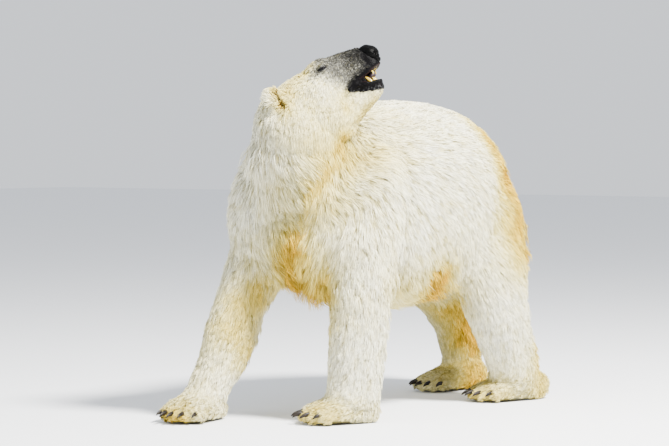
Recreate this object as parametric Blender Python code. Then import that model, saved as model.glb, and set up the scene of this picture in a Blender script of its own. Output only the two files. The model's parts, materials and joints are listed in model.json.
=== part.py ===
"""A life-size standing polar bear, with its head thrown up and turned to its own left.

Metres, +Z up. The bear faces -Y and its own left side is +X. The body is built from lofted
muscles that a voxel remesh fuses, then it is parted into named pieces with thin cuts.
"""

import math

import bmesh
import bpy
import numpy as np
from mathutils import Matrix, Vector

# ---------------------------------------------------------------- driving dimensions
BACK_HEIGHT = 1.16  # top of the back above the floor, out to the coat
BELLY_HEIGHT = 0.40
BARREL_HALF = 0.345  # half the trunk's width at the flanks
RUMP_Y = 0.63
CHEST_Y = -0.64
GAP = 0.0004  # air between two pieces that meet

HEAD_PITCH = math.radians(35)  # mouth line above the horizontal
HEAD_YAW = math.radians(115)  # how far the head is turned to the bear's left
NOSE_TIP = Vector((0.270, -0.455, 1.308))
HEAD_SCALE = 0.95  # of the lengths that the head's own frame is written in

SIDES = 28  # round a loft
BODY_VOXEL, HEAD_VOXEL, PAW_VOXEL = 0.014, 0.0055, 0.0065

MATERIALS = {
    "coat": ((0.83, 0.78, 0.66), 0.85),
    "dark_skin": ((0.035, 0.033, 0.035), 0.5),
    "eye": ((0.015, 0.010, 0.008), 0.08),
    "claw": ((0.03, 0.025, 0.022), 0.35),
    "tongue": ((0.20, 0.11, 0.13), 0.4),
}


# ---------------------------------------------------------------- modelling helpers
def clear_scene():
    for obj in list(bpy.data.objects):
        bpy.data.objects.remove(obj, do_unlink=True)


def material(name):
    found = bpy.data.materials.get(name)
    if found:
        return found
    colour, roughness = MATERIALS[name]
    made = bpy.data.materials.new(name)
    made.use_nodes = True
    shader = made.node_tree.nodes["Principled BSDF"]
    shader.inputs["Base Color"].default_value = (*colour, 1)
    shader.inputs["Roughness"].default_value = roughness
    shader.inputs["Metallic"].default_value = 0
    return made


def add_object(name, mesh):
    obj = bpy.data.objects.new(name, mesh)
    bpy.context.scene.collection.objects.link(obj)
    return obj


def remove(*objects):
    for obj in objects:
        bpy.data.objects.remove(obj, do_unlink=True)


def apply_modifiers(obj):
    """The object's mesh becomes what its modifiers make of it."""
    graph = bpy.context.evaluated_depsgraph_get()
    made = bpy.data.meshes.new_from_object(obj.evaluated_get(graph))
    obj.modifiers.clear()
    obj.data = made
    return obj


def smooth_rows(rows, steps):
    """Rows of numbers joined by Catmull-Rom curves, with steps samples to a span."""
    rows = np.array(rows, float)
    before = np.vstack([2 * rows[0] - rows[1], rows[:-1]])
    after = np.vstack([rows[1:], 2 * rows[-1] - rows[-2]])
    tangent = (after - before) / 2
    out = []
    for i in range(len(rows) - 1):
        for t in np.linspace(0, 1, steps, endpoint=False):
            h = (2 * t**3 - 3 * t**2 + 1, t**3 - 2 * t**2 + t, -2 * t**3 + 3 * t**2, t**3 - t**2)
            out.append(h[0] * rows[i] + h[1] * tangent[i] + h[2] * rows[i + 1] + h[3] * tangent[i + 1])
    out.append(rows[-1])
    return np.array(out)


def loft(stations, side=(1, 0, 0), square=2.0, steps=4, sides=SIDES):
    """A closed tube. A station is x, y, z, half width, half size above and half size below.

    Width lies along side, and above is across both side and the tube's path.
    square is the section's superellipse power: 2 is an ellipse, more is boxier.
    """
    rows = smooth_rows(stations, steps)
    bm = bmesh.new()
    rings = []
    side = Vector(side)
    for i, row in enumerate(rows):
        ahead, behind = rows[min(i + 1, len(rows) - 1)], rows[max(i - 1, 0)]
        path = Vector(ahead[:3] - behind[:3]).normalized()
        across = (side - path * side.dot(path)).normalized()
        above = path.cross(across).normalized()
        ring = []
        for k in range(sides):
            angle = 2 * math.pi * k / sides
            c, s = math.cos(angle), math.sin(angle)
            c = math.copysign(abs(c) ** (2 / square), c) * max(row[3], 0.002)
            s = math.copysign(abs(s) ** (2 / square), s) * max(row[4] if s > 0 else row[5], 0.002)
            ring.append(bm.verts.new(Vector(row[:3]) + across * c + above * s))
        rings.append(ring)
    for one, two in zip(rings[:-1], rings[1:]):
        for k in range(sides):
            bm.faces.new((one[k], one[(k + 1) % sides], two[(k + 1) % sides], two[k]))
    for ring in (rings[0], rings[-1]):
        bm.faces.new(ring)
    bmesh.ops.recalc_face_normals(bm, faces=bm.faces)
    return bm


def ellipsoid(centre, radii, turn=(0, 0, 0), rings=10):
    """An ellipsoid with its radii along X, Y and Z, turned by degrees about them."""
    bm = bmesh.new()
    bmesh.ops.create_uvsphere(bm, u_segments=2 * rings, v_segments=rings, radius=1)
    angles = [math.radians(a) for a in turn]
    spin = Matrix.Rotation(angles[2], 4, "Z") @ Matrix.Rotation(angles[1], 4, "Y")
    spin = spin @ Matrix.Rotation(angles[0], 4, "X")
    place = Matrix.Translation(centre) @ spin @ Matrix.Diagonal((*radii, 1))
    bmesh.ops.transform(bm, matrix=place, verts=bm.verts)
    return bm


def to_mesh(shapes, place=None):
    """Several bmeshes as one mesh, moved by the matrix place."""
    mesh = bpy.data.meshes.new("shapes")
    joined = bmesh.new()
    for shape in shapes:
        part = bpy.data.meshes.new("part")
        shape.to_mesh(part)
        joined.from_mesh(part)
        bpy.data.meshes.remove(part)
    if place is not None:
        bmesh.ops.transform(joined, matrix=place, verts=joined.verts)
    joined.to_mesh(mesh)
    joined.free()
    return mesh


def fuse(name, meshes, voxel, smoothing, triangles):
    """The meshes welded into one skin by a voxel remesh, smoothed, and thinned."""
    joined = bmesh.new()
    for mesh in meshes:
        joined.from_mesh(mesh)
    mesh = bpy.data.meshes.new(name)
    joined.to_mesh(mesh)
    joined.free()
    obj = add_object(name, mesh)
    remesh = obj.modifiers.new("weld", "REMESH")
    remesh.mode = "VOXEL"
    remesh.voxel_size = voxel
    if smoothing:
        smooth = obj.modifiers.new("blend", "SMOOTH")
        smooth.factor = 0.5
        smooth.iterations = smoothing
    apply_modifiers(obj)
    obj.data.calc_loop_triangles()
    thin = obj.modifiers.new("thin", "DECIMATE")
    thin.ratio = min(1, triangles / len(obj.data.loop_triangles))
    thin.use_collapse_triangulate = True
    return apply_modifiers(obj)


def boolean(obj, other, operation):
    cut = obj.modifiers.new("cut", "BOOLEAN")
    cut.operation = operation
    cut.solver = "EXACT"
    cut.object = other
    return apply_modifiers(obj)


def block(centre, half, frame=None, grow=0.0):
    """A box cutter: its centre, its half sizes, and the 3x3 frame that it is turned by."""
    bm = bmesh.new()
    bmesh.ops.create_cube(bm, size=2)
    frame = (frame or Matrix.Identity(3)).to_4x4()
    sizes = Matrix.Diagonal((*[h + grow for h in half], 1))
    bmesh.ops.transform(bm, matrix=Matrix.Translation(centre) @ frame @ sizes, verts=bm.verts)
    mesh = bpy.data.meshes.new("block")
    bm.to_mesh(mesh)
    bm.free()
    return add_object("block", mesh)


def half_space(point, normal, grow=0.0):
    """A huge box on the side of the plane that normal points to."""
    normal = Vector(normal).normalized()
    frame = normal.to_track_quat("Z", "Y").to_matrix()
    reach = 3.0
    return block(Vector(point) + normal * (reach - grow), (reach, reach, reach), frame)


def copy_of(obj, name):
    return add_object(name, obj.data.copy())


def part_off(obj, name, cutter, cutter_grown):
    """Cuts a named piece out of obj with cutter. What is left of obj keeps a gap to it."""
    piece = boolean(copy_of(obj, name), cutter, "INTERSECT")
    boolean(obj, cutter_grown, "DIFFERENCE")
    remove(cutter, cutter_grown)
    return piece


def part_at_plane(obj, name, point, normal):
    """Parts off the side of a plane that normal points to."""
    return part_off(obj, name, half_space(point, normal), half_space(point, normal, GAP))


def seat(host, insert, gap=GAP):
    """Makes room in host for insert, with a gap all round it."""
    cutter = copy_of(insert, "seat_cutter")
    swell = cutter.modifiers.new("swell", "DISPLACE")
    swell.strength = gap
    swell.mid_level = 0
    apply_modifiers(cutter)
    boolean(host, cutter, "DIFFERENCE")
    remove(cutter)


def keep_largest(obj):
    """Drops loose crumbs that a cut may leave beside the main body."""
    bm = bmesh.new()
    bm.from_mesh(obj.data)
    left, best = set(bm.verts), []
    while left:
        island, front = set(), [left.pop()]
        while front:
            vert = front.pop()
            island.add(vert)
            for edge in vert.link_edges:
                other = edge.other_vert(vert)
                if other in left:
                    left.discard(other)
                    front.append(other)
        if len(island) > len(best):
            best = island
    bmesh.ops.delete(bm, geom=[v for v in bm.verts if v not in best], context="VERTS")
    bm.to_mesh(obj.data)
    bm.free()


# ---------------------------------------------------------------- trunk and neck
def trunk_shapes():
    top, belly, wide = BACK_HEIGHT, BELLY_HEIGHT, BARREL_HALF

    def section(y, above, below, width):
        middle = (above + below) / 2
        return (0, y, middle, width, (above - below) / 2, (above - below) / 2)

    barrel = loft(
        [
            section(RUMP_Y, top - 0.38, belly + 0.26, 0.05),
            section(RUMP_Y - 0.04, top - 0.27, belly + 0.18, 0.13),
            section(RUMP_Y - 0.13, top - 0.15, belly + 0.10, 0.20),
            section(0.36, top - 0.06, belly + 0.05, wide * 0.79),
            section(0.18, top - 0.01, belly + 0.02, wide * 0.96),
            section(-0.02, top, belly, wide),
            section(-0.20, top - 0.02, belly + 0.00, wide * 0.97),
            section(-0.38, top - 0.05, belly + 0.02, wide * 0.86),
            section(-0.54, top - 0.17, belly + 0.06, wide * 0.70),
            section(CHEST_Y, top - 0.34, belly + 0.14, wide * 0.42),
            section(CHEST_Y - 0.035, top - 0.44, belly + 0.24, wide * 0.15),
        ],
        square=2.1,
    )
    haunches = [
        ellipsoid((0.19, 0.325, 0.66), (0.145, 0.200, 0.27), (6, 0, 0)),
        ellipsoid((-0.19, 0.350, 0.66), (0.145, 0.200, 0.27), (12, 0, 0)),
    ]
    shoulders = [
        ellipsoid((0.195, -0.42, 0.76), (0.135, 0.16, 0.26), (-10, 0, 0)),
        ellipsoid((-0.215, -0.470, 0.76), (0.135, 0.175, 0.26), (-16, 0, 0)),
    ]
    chest = ellipsoid((0, -0.49, 0.70), (0.21, 0.165, 0.23))
    return [barrel, *haunches, *shoulders, chest]


def neck_shapes():
    column = loft(
        [
            (0.00, -0.30, 0.74, 0.25, 0.26, 0.24),
            (0.00, -0.42, 0.82, 0.265, 0.25, 0.24),
            (0.00, -0.51, 0.91, 0.215, 0.20, 0.20),
            (0.00, -0.55, 1.00, 0.190, 0.18, 0.18),
            (0.01, -0.56, 1.09, 0.170, 0.16, 0.165),
            (0.03, -0.555, 1.16, 0.12, 0.12, 0.12),
        ]
    )
    return [column]


# ---------------------------------------------------------------- legs
# Each row of a leg: x, y, z, half width, half size in front, half size behind.
FORELEGS = {
    "left": [
        (0.200, -0.42, 0.80, 0.11, 0.14, 0.15),
        (0.205, -0.465, 0.62, 0.118, 0.13, 0.14),
        (0.205, -0.480, 0.46, 0.106, 0.112, 0.118),
        (0.195, -0.483, 0.30, 0.102, 0.108, 0.110),
        (0.185, -0.485, 0.17, 0.097, 0.106, 0.106),
        (0.178, -0.490, 0.07, 0.092, 0.104, 0.104),
    ],
    "right": [
        (-0.205, -0.45, 0.80, 0.11, 0.14, 0.15),
        (-0.222, -0.50, 0.60, 0.112, 0.135, 0.135),
        (-0.245, -0.605, 0.42, 0.090, 0.100, 0.105),
        (-0.260, -0.645, 0.30, 0.093, 0.102, 0.110),
        (-0.275, -0.683, 0.20, 0.082, 0.090, 0.092),
        (-0.288, -0.728, 0.13, 0.075, 0.080, 0.080),
        (-0.297, -0.755, 0.05, 0.078, 0.083, 0.080),
    ],
}
HIND_LEGS = {
    "left": [
        (0.190, 0.32, 0.70, 0.13, 0.18, 0.18),
        (0.230, 0.31, 0.52, 0.130, 0.175, 0.185),
        (0.245, 0.345, 0.36, 0.113, 0.132, 0.135),
        (0.245, 0.420, 0.22, 0.098, 0.112, 0.115),
        (0.240, 0.475, 0.12, 0.094, 0.105, 0.118),
        (0.235, 0.48, 0.05, 0.088, 0.095, 0.110),
    ],
    "right": [
        (-0.190, 0.37, 0.70, 0.13, 0.18, 0.18),
        (-0.210, 0.50, 0.54, 0.130, 0.17, 0.17),
        (-0.205, 0.64, 0.40, 0.108, 0.130, 0.125),
        (-0.190, 0.70, 0.29, 0.092, 0.108, 0.108),
        (-0.180, 0.725, 0.20, 0.085, 0.098, 0.098),
        (-0.175, 0.735, 0.12, 0.080, 0.090, 0.092),
        (-0.172, 0.73, 0.05, 0.078, 0.085, 0.088),
    ],
}
# Each paw: where its ankle stands, how far it points off straight ahead (degrees, to the bear's
# left), and its length and half width.
PAWS = {
    "fore_left": ((0.172, -0.495), -30, 0.285, 0.096),
    "fore_right": ((-0.300, -0.758), 4, 0.268, 0.094),
    "hind_left": ((0.235, 0.500), -22, 0.31, 0.090),
    "hind_right": ((-0.172, 0.700), -8, 0.335, 0.090),
}
TOES = 5
CLAW_LENGTH, CLAW_RADIUS = 0.045, 0.0098
ANKLE_CUT, KNEE_CUT = 0.115, 0.36


def paw_frame(name):
    """Matrix from a paw's own frame (its toes ahead along -Y) to the bear's."""
    (x, y), heading, _, _ = PAWS[name]
    return Matrix.Translation((x, y, 0)) @ Matrix.Rotation(math.radians(heading), 4, "Z")


def toe_places(name):
    """Each toe's x, y, heading in degrees and radius, in the paw's own frame."""
    _, _, length, half = PAWS[name]
    places = []
    for i in range(TOES):
        across = (i - (TOES - 1) / 2) / ((TOES - 1) / 2)
        radius = 0.031 - 0.004 * abs(across)
        reach = 0.66 * length - 0.045 * across * across
        places.append((across * (half - 0.022), -reach + radius, across * 14, radius))
    return places


def paw_shapes(name):
    _, _, length, half = PAWS[name]
    rear = name.startswith("hind")
    back = 0.34 * length
    pad = loft(
        [
            (0, back, 0.030, half * 0.55, 0.030, 0.038),
            (0, back - 0.05, 0.045, half * 0.80, 0.050, 0.054),
            (0, -0.01, 0.055, half * 0.90, 0.055, 0.064),
            (0, -0.09, 0.045, half * 0.97, 0.042, 0.054),
            (0, -0.52 * length, 0.034, half * 0.92, 0.030, 0.043),
        ],
        square=2.4,
    )
    shapes = [pad]
    for x, y, heading, radius in toe_places(name):
        shapes.append(ellipsoid((x, y, 0.026), (radius * 0.86, radius * 1.35, radius), (0, 0, heading), 8))
    if rear:
        shapes.append(ellipsoid((0, back - 0.01, 0.055), (half * 0.62, 0.055, 0.06)))
    return shapes


def claw(name, place):
    """A curved, tapering claw that starts inside its toe and points ahead and down."""
    rows, sides = 4, 5
    bm = bmesh.new()
    rings = []
    for i in range(rows):
        t = i / (rows - 1)
        bend = math.radians(6 + 46 * t)
        y = -CLAW_LENGTH * (math.sin(math.radians(52 * t + 6)) / math.sin(math.radians(58)))
        z = -0.30 * CLAW_LENGTH * t * t + 0.004
        radius = CLAW_RADIUS * (1 - t) ** 0.6
        if i == rows - 1:
            rings.append([bm.verts.new((0, y, z))])
            continue
        ring = []
        for k in range(sides):
            angle = 2 * math.pi * (k + 0.5) / sides
            up = Vector((0, -math.sin(bend), math.cos(bend)))
            across = math.cos(angle) * radius * 0.72
            ring.append(bm.verts.new(Vector((across, y, z)) + up * math.sin(angle) * radius))
        rings.append(ring)
    bm.faces.new(rings[0])
    for one, two in zip(rings[:-2], rings[1:-1]):
        for k in range(sides):
            bm.faces.new((one[k], one[(k + 1) % sides], two[(k + 1) % sides], two[k]))
    for k in range(sides):
        bm.faces.new((rings[-2][k], rings[-2][(k + 1) % sides], rings[-1][0]))
    bmesh.ops.recalc_face_normals(bm, faces=bm.faces)
    obj = add_object(name, to_mesh([bm], place))
    return obj


def paw_claws(name):
    """The paw's five claws, each seated in the front of its toe."""
    claws = []
    for i, (x, y, heading, radius) in enumerate(toe_places(name)):
        root = Matrix.Translation((x, y - radius * 0.72, 0.036))
        place = paw_frame(name) @ root @ Matrix.Rotation(math.radians(heading * 0.6), 4, "Z")
        claws.append(claw(f"claw_{name}_{i + 1}", place))
    return claws


# ---------------------------------------------------------------- head
# The head's own frame: the nose's tip is the origin, +Y runs back to the ears, +Z is the crown's
# side of the mouth line and +X the bear's left.
EYE = Vector((0.064, 0.194, 0.075))
EYE_RADIUS = 0.0135
EAR = Vector((0.106, 0.400, 0.090))


def head_frame():
    ahead = Matrix.Rotation(HEAD_YAW, 3, "Z") @ Vector((0, -1, 0))
    ahead = (ahead * math.cos(HEAD_PITCH) + Vector((0, 0, math.sin(HEAD_PITCH)))).normalized()
    left = ahead.cross(Vector((0, 0, -1))).normalized()
    back = -ahead
    up = left.cross(back)
    turn = Matrix((left, back, up)).transposed()
    return Matrix.Translation(NOSE_TIP) @ turn.to_4x4() @ Matrix.Scale(HEAD_SCALE, 4)


def profile(rows, **options):
    """A loft down the head: a row is y, the heights of its top and bottom, and its half width."""
    stations = [(0, y, (top + low) / 2, half, (top - low) / 2, (top - low) / 2) for y, top, low, half in rows]
    return loft(stations, **options)


def skull_shapes():
    muzzle = profile(
        [
            (0.006, 0.035, 0.000, 0.022),
            (0.020, 0.053, -0.026, 0.038),
            (0.045, 0.067, -0.034, 0.047),
            (0.095, 0.086, -0.030, 0.055),
            (0.150, 0.105, -0.036, 0.066),
            (0.205, 0.124, -0.068, 0.088),
            (0.255, 0.129, -0.108, 0.108),
            (0.320, 0.131, -0.148, 0.126),
            (0.380, 0.122, -0.165, 0.132),
            (0.435, 0.090, -0.155, 0.118),
            (0.470, 0.050, -0.100, 0.070),
        ],
        square=2.2,
    )
    brows = [ellipsoid((s * 0.046, 0.216, 0.096), (0.030, 0.055, 0.026)) for s in (1, -1)]
    cheeks = [ellipsoid((s * 0.060, 0.315, -0.070), (0.066, 0.120, 0.085), (22, 0, 0)) for s in (1, -1)]
    lips = [ellipsoid((s * 0.031, 0.080, -0.020), (0.022, 0.068, 0.022)) for s in (1, -1)]
    front = ellipsoid((0, 0.034, -0.014), (0.030, 0.022, 0.026))
    return [muzzle, *brows, *cheeks, *lips, front]


def jaw_shapes():
    """The lower jaw, hanging open; its last rows lie inside the cheeks and the throat."""
    jaw = profile(
        [
            (0.046, -0.080, -0.104, 0.018),
            (0.058, -0.073, -0.114, 0.033),
            (0.085, -0.068, -0.126, 0.040),
            (0.120, -0.063, -0.137, 0.047),
            (0.165, -0.055, -0.146, 0.060),
            (0.210, -0.055, -0.158, 0.080),
            (0.260, -0.055, -0.172, 0.096),
            (0.320, -0.060, -0.180, 0.100),
        ],
        square=2.3,
    )
    throat = ellipsoid((0, 0.310, -0.115), (0.105, 0.110, 0.080), (25, 0, 0))
    return [jaw, throat]


def ear(name, side):
    """A round cupped ear: a thick disc with its front face hollowed out."""
    disc = ellipsoid((0, 0, 0), (0.042, 0.021, 0.042), rings=7)
    hollow = ellipsoid((0, -0.020, 0.004), (0.028, 0.021, 0.029), rings=5)
    turn = Matrix.Rotation(math.radians(side * 38), 4, "Z") @ Matrix.Rotation(math.radians(-14), 4, "X")
    place = head_frame() @ Matrix.Translation((side * EAR.x, EAR.y, EAR.z)) @ turn
    obj = add_object(name, to_mesh([disc], place))
    cutter = add_object("hollow", to_mesh([hollow], place))
    boolean(obj, cutter, "DIFFERENCE")
    remove(cutter)
    return obj


def eye(name, side):
    place = head_frame() @ Matrix.Translation((side * EYE.x, EYE.y, EYE.z))
    ball = ellipsoid((0, 0, 0), (EYE_RADIUS,) * 3, rings=6)
    return add_object(name, to_mesh([ball], place))


def nose():
    pad = [
        ellipsoid((0, 0.022, 0.026), (0.041, 0.030, 0.030)),
        ellipsoid((0, 0.036, 0.043), (0.034, 0.031, 0.025)),
        ellipsoid((0, 0.015, 0.004), (0.026, 0.018, 0.024)),
    ]
    return fuse("nose", [to_mesh(pad, head_frame())], 0.003, 3, 200)


# Each tooth of the right half: x, y, its root's height, its tip's height and its root's radius.
UPPER_TEETH = [
    (0.025, 0.046, -0.024, -0.055, 0.0075),
    (0.017, 0.040, -0.024, -0.040, 0.0042),
    (0.0095, 0.037, -0.024, -0.037, 0.0036),
    (0.0032, 0.036, -0.024, -0.036, 0.0034),
]
LOWER_TEETH = [
    (0.023, 0.081, -0.082, -0.040, 0.0078),
    (0.0145, 0.071, -0.084, -0.060, 0.0038),
    (0.0085, 0.068, -0.084, -0.062, 0.0034),
    (0.0029, 0.067, -0.084, -0.063, 0.0032),
]


def teeth(name, rows):
    """Both sides' canines and incisors as cones, in one mesh."""
    shapes = []
    for side in (1, -1):
        for x, y, root, tip, radius in rows:
            bm = bmesh.new()
            height = abs(tip - root)
            bmesh.ops.create_cone(bm, segments=5, radius1=radius, radius2=radius * 0.25, depth=height, cap_ends=True)
            flip = Matrix.Rotation(math.pi if tip < root else 0, 4, "X")
            place = Matrix.Translation((side * x, y, (root + tip) / 2)) @ flip
            bmesh.ops.transform(bm, matrix=place, verts=bm.verts)
            shapes.append(bm)
    return add_object(name, to_mesh(shapes, head_frame()))


def add_mouth(jaw, rows, cavity):
    """Hollows the mouth out of a jaw and grows its teeth from it."""
    hollow = add_object("cavity", to_mesh([cavity], head_frame()))
    boolean(jaw, hollow, "DIFFERENCE")
    row = teeth("teeth", rows)
    boolean(jaw, row, "UNION")
    remove(hollow, row)


def tongue():
    body = profile(
        [
            (0.094, -0.055, -0.072, 0.012),
            (0.106, -0.047, -0.076, 0.019),
            (0.140, -0.040, -0.078, 0.023),
            (0.185, -0.040, -0.075, 0.022),
        ],
        steps=2,
        sides=12,
    )
    return add_object("tongue", to_mesh([body], head_frame()))


# ---------------------------------------------------------------- the bear
NECK_TOP = Vector((0.020, -0.550, 1.06))
NECK_TILT = Vector((0.25, -0.32, 1.0))  # square to the cut between the neck and the head
NECK_BASE = Vector((0.0, -0.40, 0.98))
HEAD_TRIANGLES, BODY_TRIANGLES, PAW_TRIANGLES = 1750, 1700, 205


def neck_block(side):
    """A block on one side of the cut between the neck (-1) and the head (1)."""
    normal = NECK_TILT.normalized() * side
    reach = 0.32
    frame = normal.to_track_quat("Z", "Y").to_matrix()
    return block(NECK_TOP + normal * (reach - GAP / 2), (reach, reach, reach), frame)


def build_head(pieces):
    place = head_frame()
    skull = to_mesh(skull_shapes(), place)
    jaw = to_mesh(jaw_shapes(), place)
    head = fuse("head", [skull, jaw, to_mesh(neck_shapes())], HEAD_VOXEL, 9, HEAD_TRIANGLES)
    below = neck_block(-1)
    boolean(head, below, "DIFFERENCE")
    remove(below)
    pieces["head"] = (head, "coat")
    nose_pad = nose()
    seat(head, nose_pad)
    pieces["nose"] = (nose_pad, "dark_skin")
    for side, word in ((1, "left"), (-1, "right")):
        ball, cup = eye(f"eye_{word}", side), ear(f"ear_{word}", side)
        seat(head, ball)
        seat(head, cup)
        pieces[f"eye_{word}"] = (ball, "eye")
        pieces[f"ear_{word}"] = (cup, "coat")
    jaw_frame = place.to_3x3().normalized()
    cutters = [block(place @ Vector((0, 0.06, -0.13)), (0.10, 0.108, 0.075), jaw_frame, g) for g in (0, GAP)]
    lower_jaw = part_off(head, "lower_jaw", *cutters)
    add_mouth(head, UPPER_TEETH, ellipsoid((0, 0.105, -0.036), (0.028, 0.068, 0.022), rings=6))
    add_mouth(lower_jaw, LOWER_TEETH, ellipsoid((0, 0.130, -0.058), (0.028, 0.062, 0.020), rings=6))
    licker = tongue()
    seat(lower_jaw, licker)
    seat(head, licker)
    pieces["lower_jaw"] = (lower_jaw, "coat")
    pieces["tongue"] = (licker, "tongue")


def build_body(pieces):
    legs = [loft(rows, side=(1, 0, 0)) for group in (FORELEGS, HIND_LEGS) for rows in group.values()]
    meshes = [to_mesh(trunk_shapes()), to_mesh(neck_shapes()), to_mesh(legs)]
    body = fuse("trunk", meshes, BODY_VOXEL, 16, BODY_TRIANGLES)
    above = neck_block(1)
    boolean(body, above, "DIFFERENCE")
    remove(above)
    neck_way = Vector((0.0, -0.75, 0.66))
    pieces["neck"] = (part_at_plane(body, "neck", NECK_BASE, neck_way), "coat")
    return body


def build_legs(body, pieces):
    """Parts each leg off the trunk with a slanting block, then cuts it at its joints."""
    for end, front, back, inner, lean in (("fore", -0.98, -0.30, 0.075, 36), ("hind", 0.10, 0.98, 0.055, 30)):
        for s, word in ((1, "left"), (-1, "right")):
            frame = Matrix.Rotation(math.radians(s * lean), 3, "Y")
            middle = Vector((s * inner, (front + back) / 2, 0.43))
            half = (0.35, (back - front) / 2, 0.6)
            centre = middle + frame @ Vector((s * half[0], 0, -half[2] + 0.34))
            cutters = [block(centre, half, frame, grow) for grow in (0.0, GAP)]
            name = f"{end}_{word}"
            upper = part_off(body, f"{end}leg_upper_{word}", *cutters)
            build_paw(name, upper, pieces)
            lower = part_at_plane(upper, f"{end}leg_lower_{word}", (0, 0, KNEE_CUT), (0, 0, -1))
            pieces[f"{end}leg_upper_{word}"] = (upper, "coat")
            pieces[f"{end}leg_lower_{word}"] = (lower, "coat")


def build_paw(name, leg, pieces):
    """The paw is fused with its own leg's lower end, finer than the body, and cut at the ankle."""
    end, word = name.split("_")
    rows = (FORELEGS if end == "fore" else HIND_LEGS)[word][-3:]
    shapes = [to_mesh([loft(rows)]), to_mesh(paw_shapes(name), paw_frame(name))]
    paw = fuse(f"{end}paw_{word}", shapes, PAW_VOXEL, 4, PAW_TRIANGLES)
    floor = half_space((0, 0, 0.0), (0, 0, -1))
    above = half_space((0, 0, ANKLE_CUT), (0, 0, 1))
    for cutter in (floor, above):
        boolean(paw, cutter, "DIFFERENCE")
    below = half_space((0, 0, ANKLE_CUT + GAP), (0, 0, -1))
    boolean(leg, below, "DIFFERENCE")
    remove(floor, above, below)
    for nail in paw_claws(name):
        seat(paw, nail)
        pieces[nail.name] = (nail, "claw")
    pieces[f"{end}paw_{word}"] = (paw, "coat")


def build_tail(body, pieces):
    stub = loft(
        [
            (0, RUMP_Y - 0.085, 0.915, 0.030, 0.028, 0.030),
            (0, RUMP_Y - 0.028, 0.880, 0.040, 0.031, 0.034),
            (0, RUMP_Y + 0.010, 0.825, 0.038, 0.028, 0.030),
            (0, RUMP_Y + 0.022, 0.770, 0.022, 0.016, 0.016),
        ],
        steps=2,
        sides=12,
    )
    tail = add_object("tail", to_mesh([stub]))
    seat(body, tail)
    pieces["tail"] = (tail, "coat")


def centre_on_floor(objects):
    """One parent for the whole bear, so that the origin is below the middle of its extent."""
    corners = [obj.matrix_world @ Vector(corner) for obj in objects for corner in obj.bound_box]
    low = [min(corner[i] for corner in corners) for i in range(2)]
    high = [max(corner[i] for corner in corners) for i in range(2)]
    base = bpy.data.objects.new("bear", None)
    bpy.context.scene.collection.objects.link(base)
    base.location = (-(low[0] + high[0]) / 2, -(low[1] + high[1]) / 2, 0)
    for obj in objects:
        obj.parent = base


def main():
    clear_scene()
    pieces = {}
    build_head(pieces)
    body = build_body(pieces)
    build_legs(body, pieces)
    build_tail(body, pieces)
    pieces["trunk"] = (body, "coat")
    for name, (obj, finish) in pieces.items():
        keep_largest(obj)
        obj.name = name
        obj.data.materials.clear()
        obj.data.materials.append(material(finish))
        obj.data.polygons.foreach_set("use_smooth", [True] * len(obj.data.polygons))
        obj.data.set_sharp_from_angle(angle=math.radians(48))
    bpy.context.view_layer.update()
    centre_on_floor([obj for obj, _ in pieces.values()])


main()
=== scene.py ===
"""Looks of the standing polar bear: one skin with the face sculpted on it, a coat of tufts as
solid mesh, and the eyes, nose, teeth, tongue and claws as pieces of their own.

Metres, in the CAD's frame. The bear faces -Y, its own left side is +X.
"""

import json
import math

import bmesh
import bpy
import numpy as np
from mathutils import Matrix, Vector
from mathutils.bvhtree import BVHTree
from mathutils.kdtree import KDTree

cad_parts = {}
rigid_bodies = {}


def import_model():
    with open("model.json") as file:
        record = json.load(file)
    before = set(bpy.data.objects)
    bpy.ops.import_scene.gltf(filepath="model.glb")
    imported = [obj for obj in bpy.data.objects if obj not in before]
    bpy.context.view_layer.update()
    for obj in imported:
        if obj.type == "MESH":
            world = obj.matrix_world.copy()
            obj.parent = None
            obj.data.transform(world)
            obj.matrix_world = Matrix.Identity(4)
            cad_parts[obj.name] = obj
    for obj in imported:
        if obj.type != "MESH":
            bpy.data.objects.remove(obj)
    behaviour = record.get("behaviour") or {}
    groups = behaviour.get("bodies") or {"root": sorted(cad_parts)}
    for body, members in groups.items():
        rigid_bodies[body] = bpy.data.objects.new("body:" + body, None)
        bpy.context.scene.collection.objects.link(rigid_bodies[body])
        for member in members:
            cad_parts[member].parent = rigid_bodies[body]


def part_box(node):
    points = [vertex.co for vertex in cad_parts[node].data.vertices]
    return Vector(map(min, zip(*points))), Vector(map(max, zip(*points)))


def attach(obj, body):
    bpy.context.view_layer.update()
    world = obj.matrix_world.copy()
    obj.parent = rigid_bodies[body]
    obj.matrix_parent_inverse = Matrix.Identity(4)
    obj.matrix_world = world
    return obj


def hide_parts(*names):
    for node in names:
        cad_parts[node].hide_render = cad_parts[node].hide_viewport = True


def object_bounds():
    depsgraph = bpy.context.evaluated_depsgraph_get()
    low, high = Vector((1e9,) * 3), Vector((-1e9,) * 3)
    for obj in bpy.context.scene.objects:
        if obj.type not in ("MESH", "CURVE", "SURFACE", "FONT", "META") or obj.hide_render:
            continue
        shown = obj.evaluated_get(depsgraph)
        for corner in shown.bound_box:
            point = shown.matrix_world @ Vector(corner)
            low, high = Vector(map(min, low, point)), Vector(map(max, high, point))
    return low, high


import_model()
cad_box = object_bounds()
RNG = np.random.default_rng(11)
WEIGHT_GRADES = 50
SWELL = 0.0009  # how far the solids grow so that those that touch merge into one skin
PIECE_SWELL = 0.0006
GUIDE_VOXEL, SKIN_VOXEL, FACE_VOXEL = 0.014, 0.0094, 0.0032
TONGUE_VOXEL, NOSE_VOXEL = 0.0022, 0.0015
SOLE_HEIGHT, LOWEST_TUFT = 0.0006, 0.0012  # above the floor

LEGS = [f"{end}_{word}" for end in ("fore", "hind") for word in ("left", "right")]


def leg_nodes(leg):
    """The CAD's nodes of one leg, from the top down."""
    end, word = leg.split("_")
    return [f"{end}leg_upper_{word}", f"{end}leg_lower_{word}", f"{end}paw_{word}"]


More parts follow.
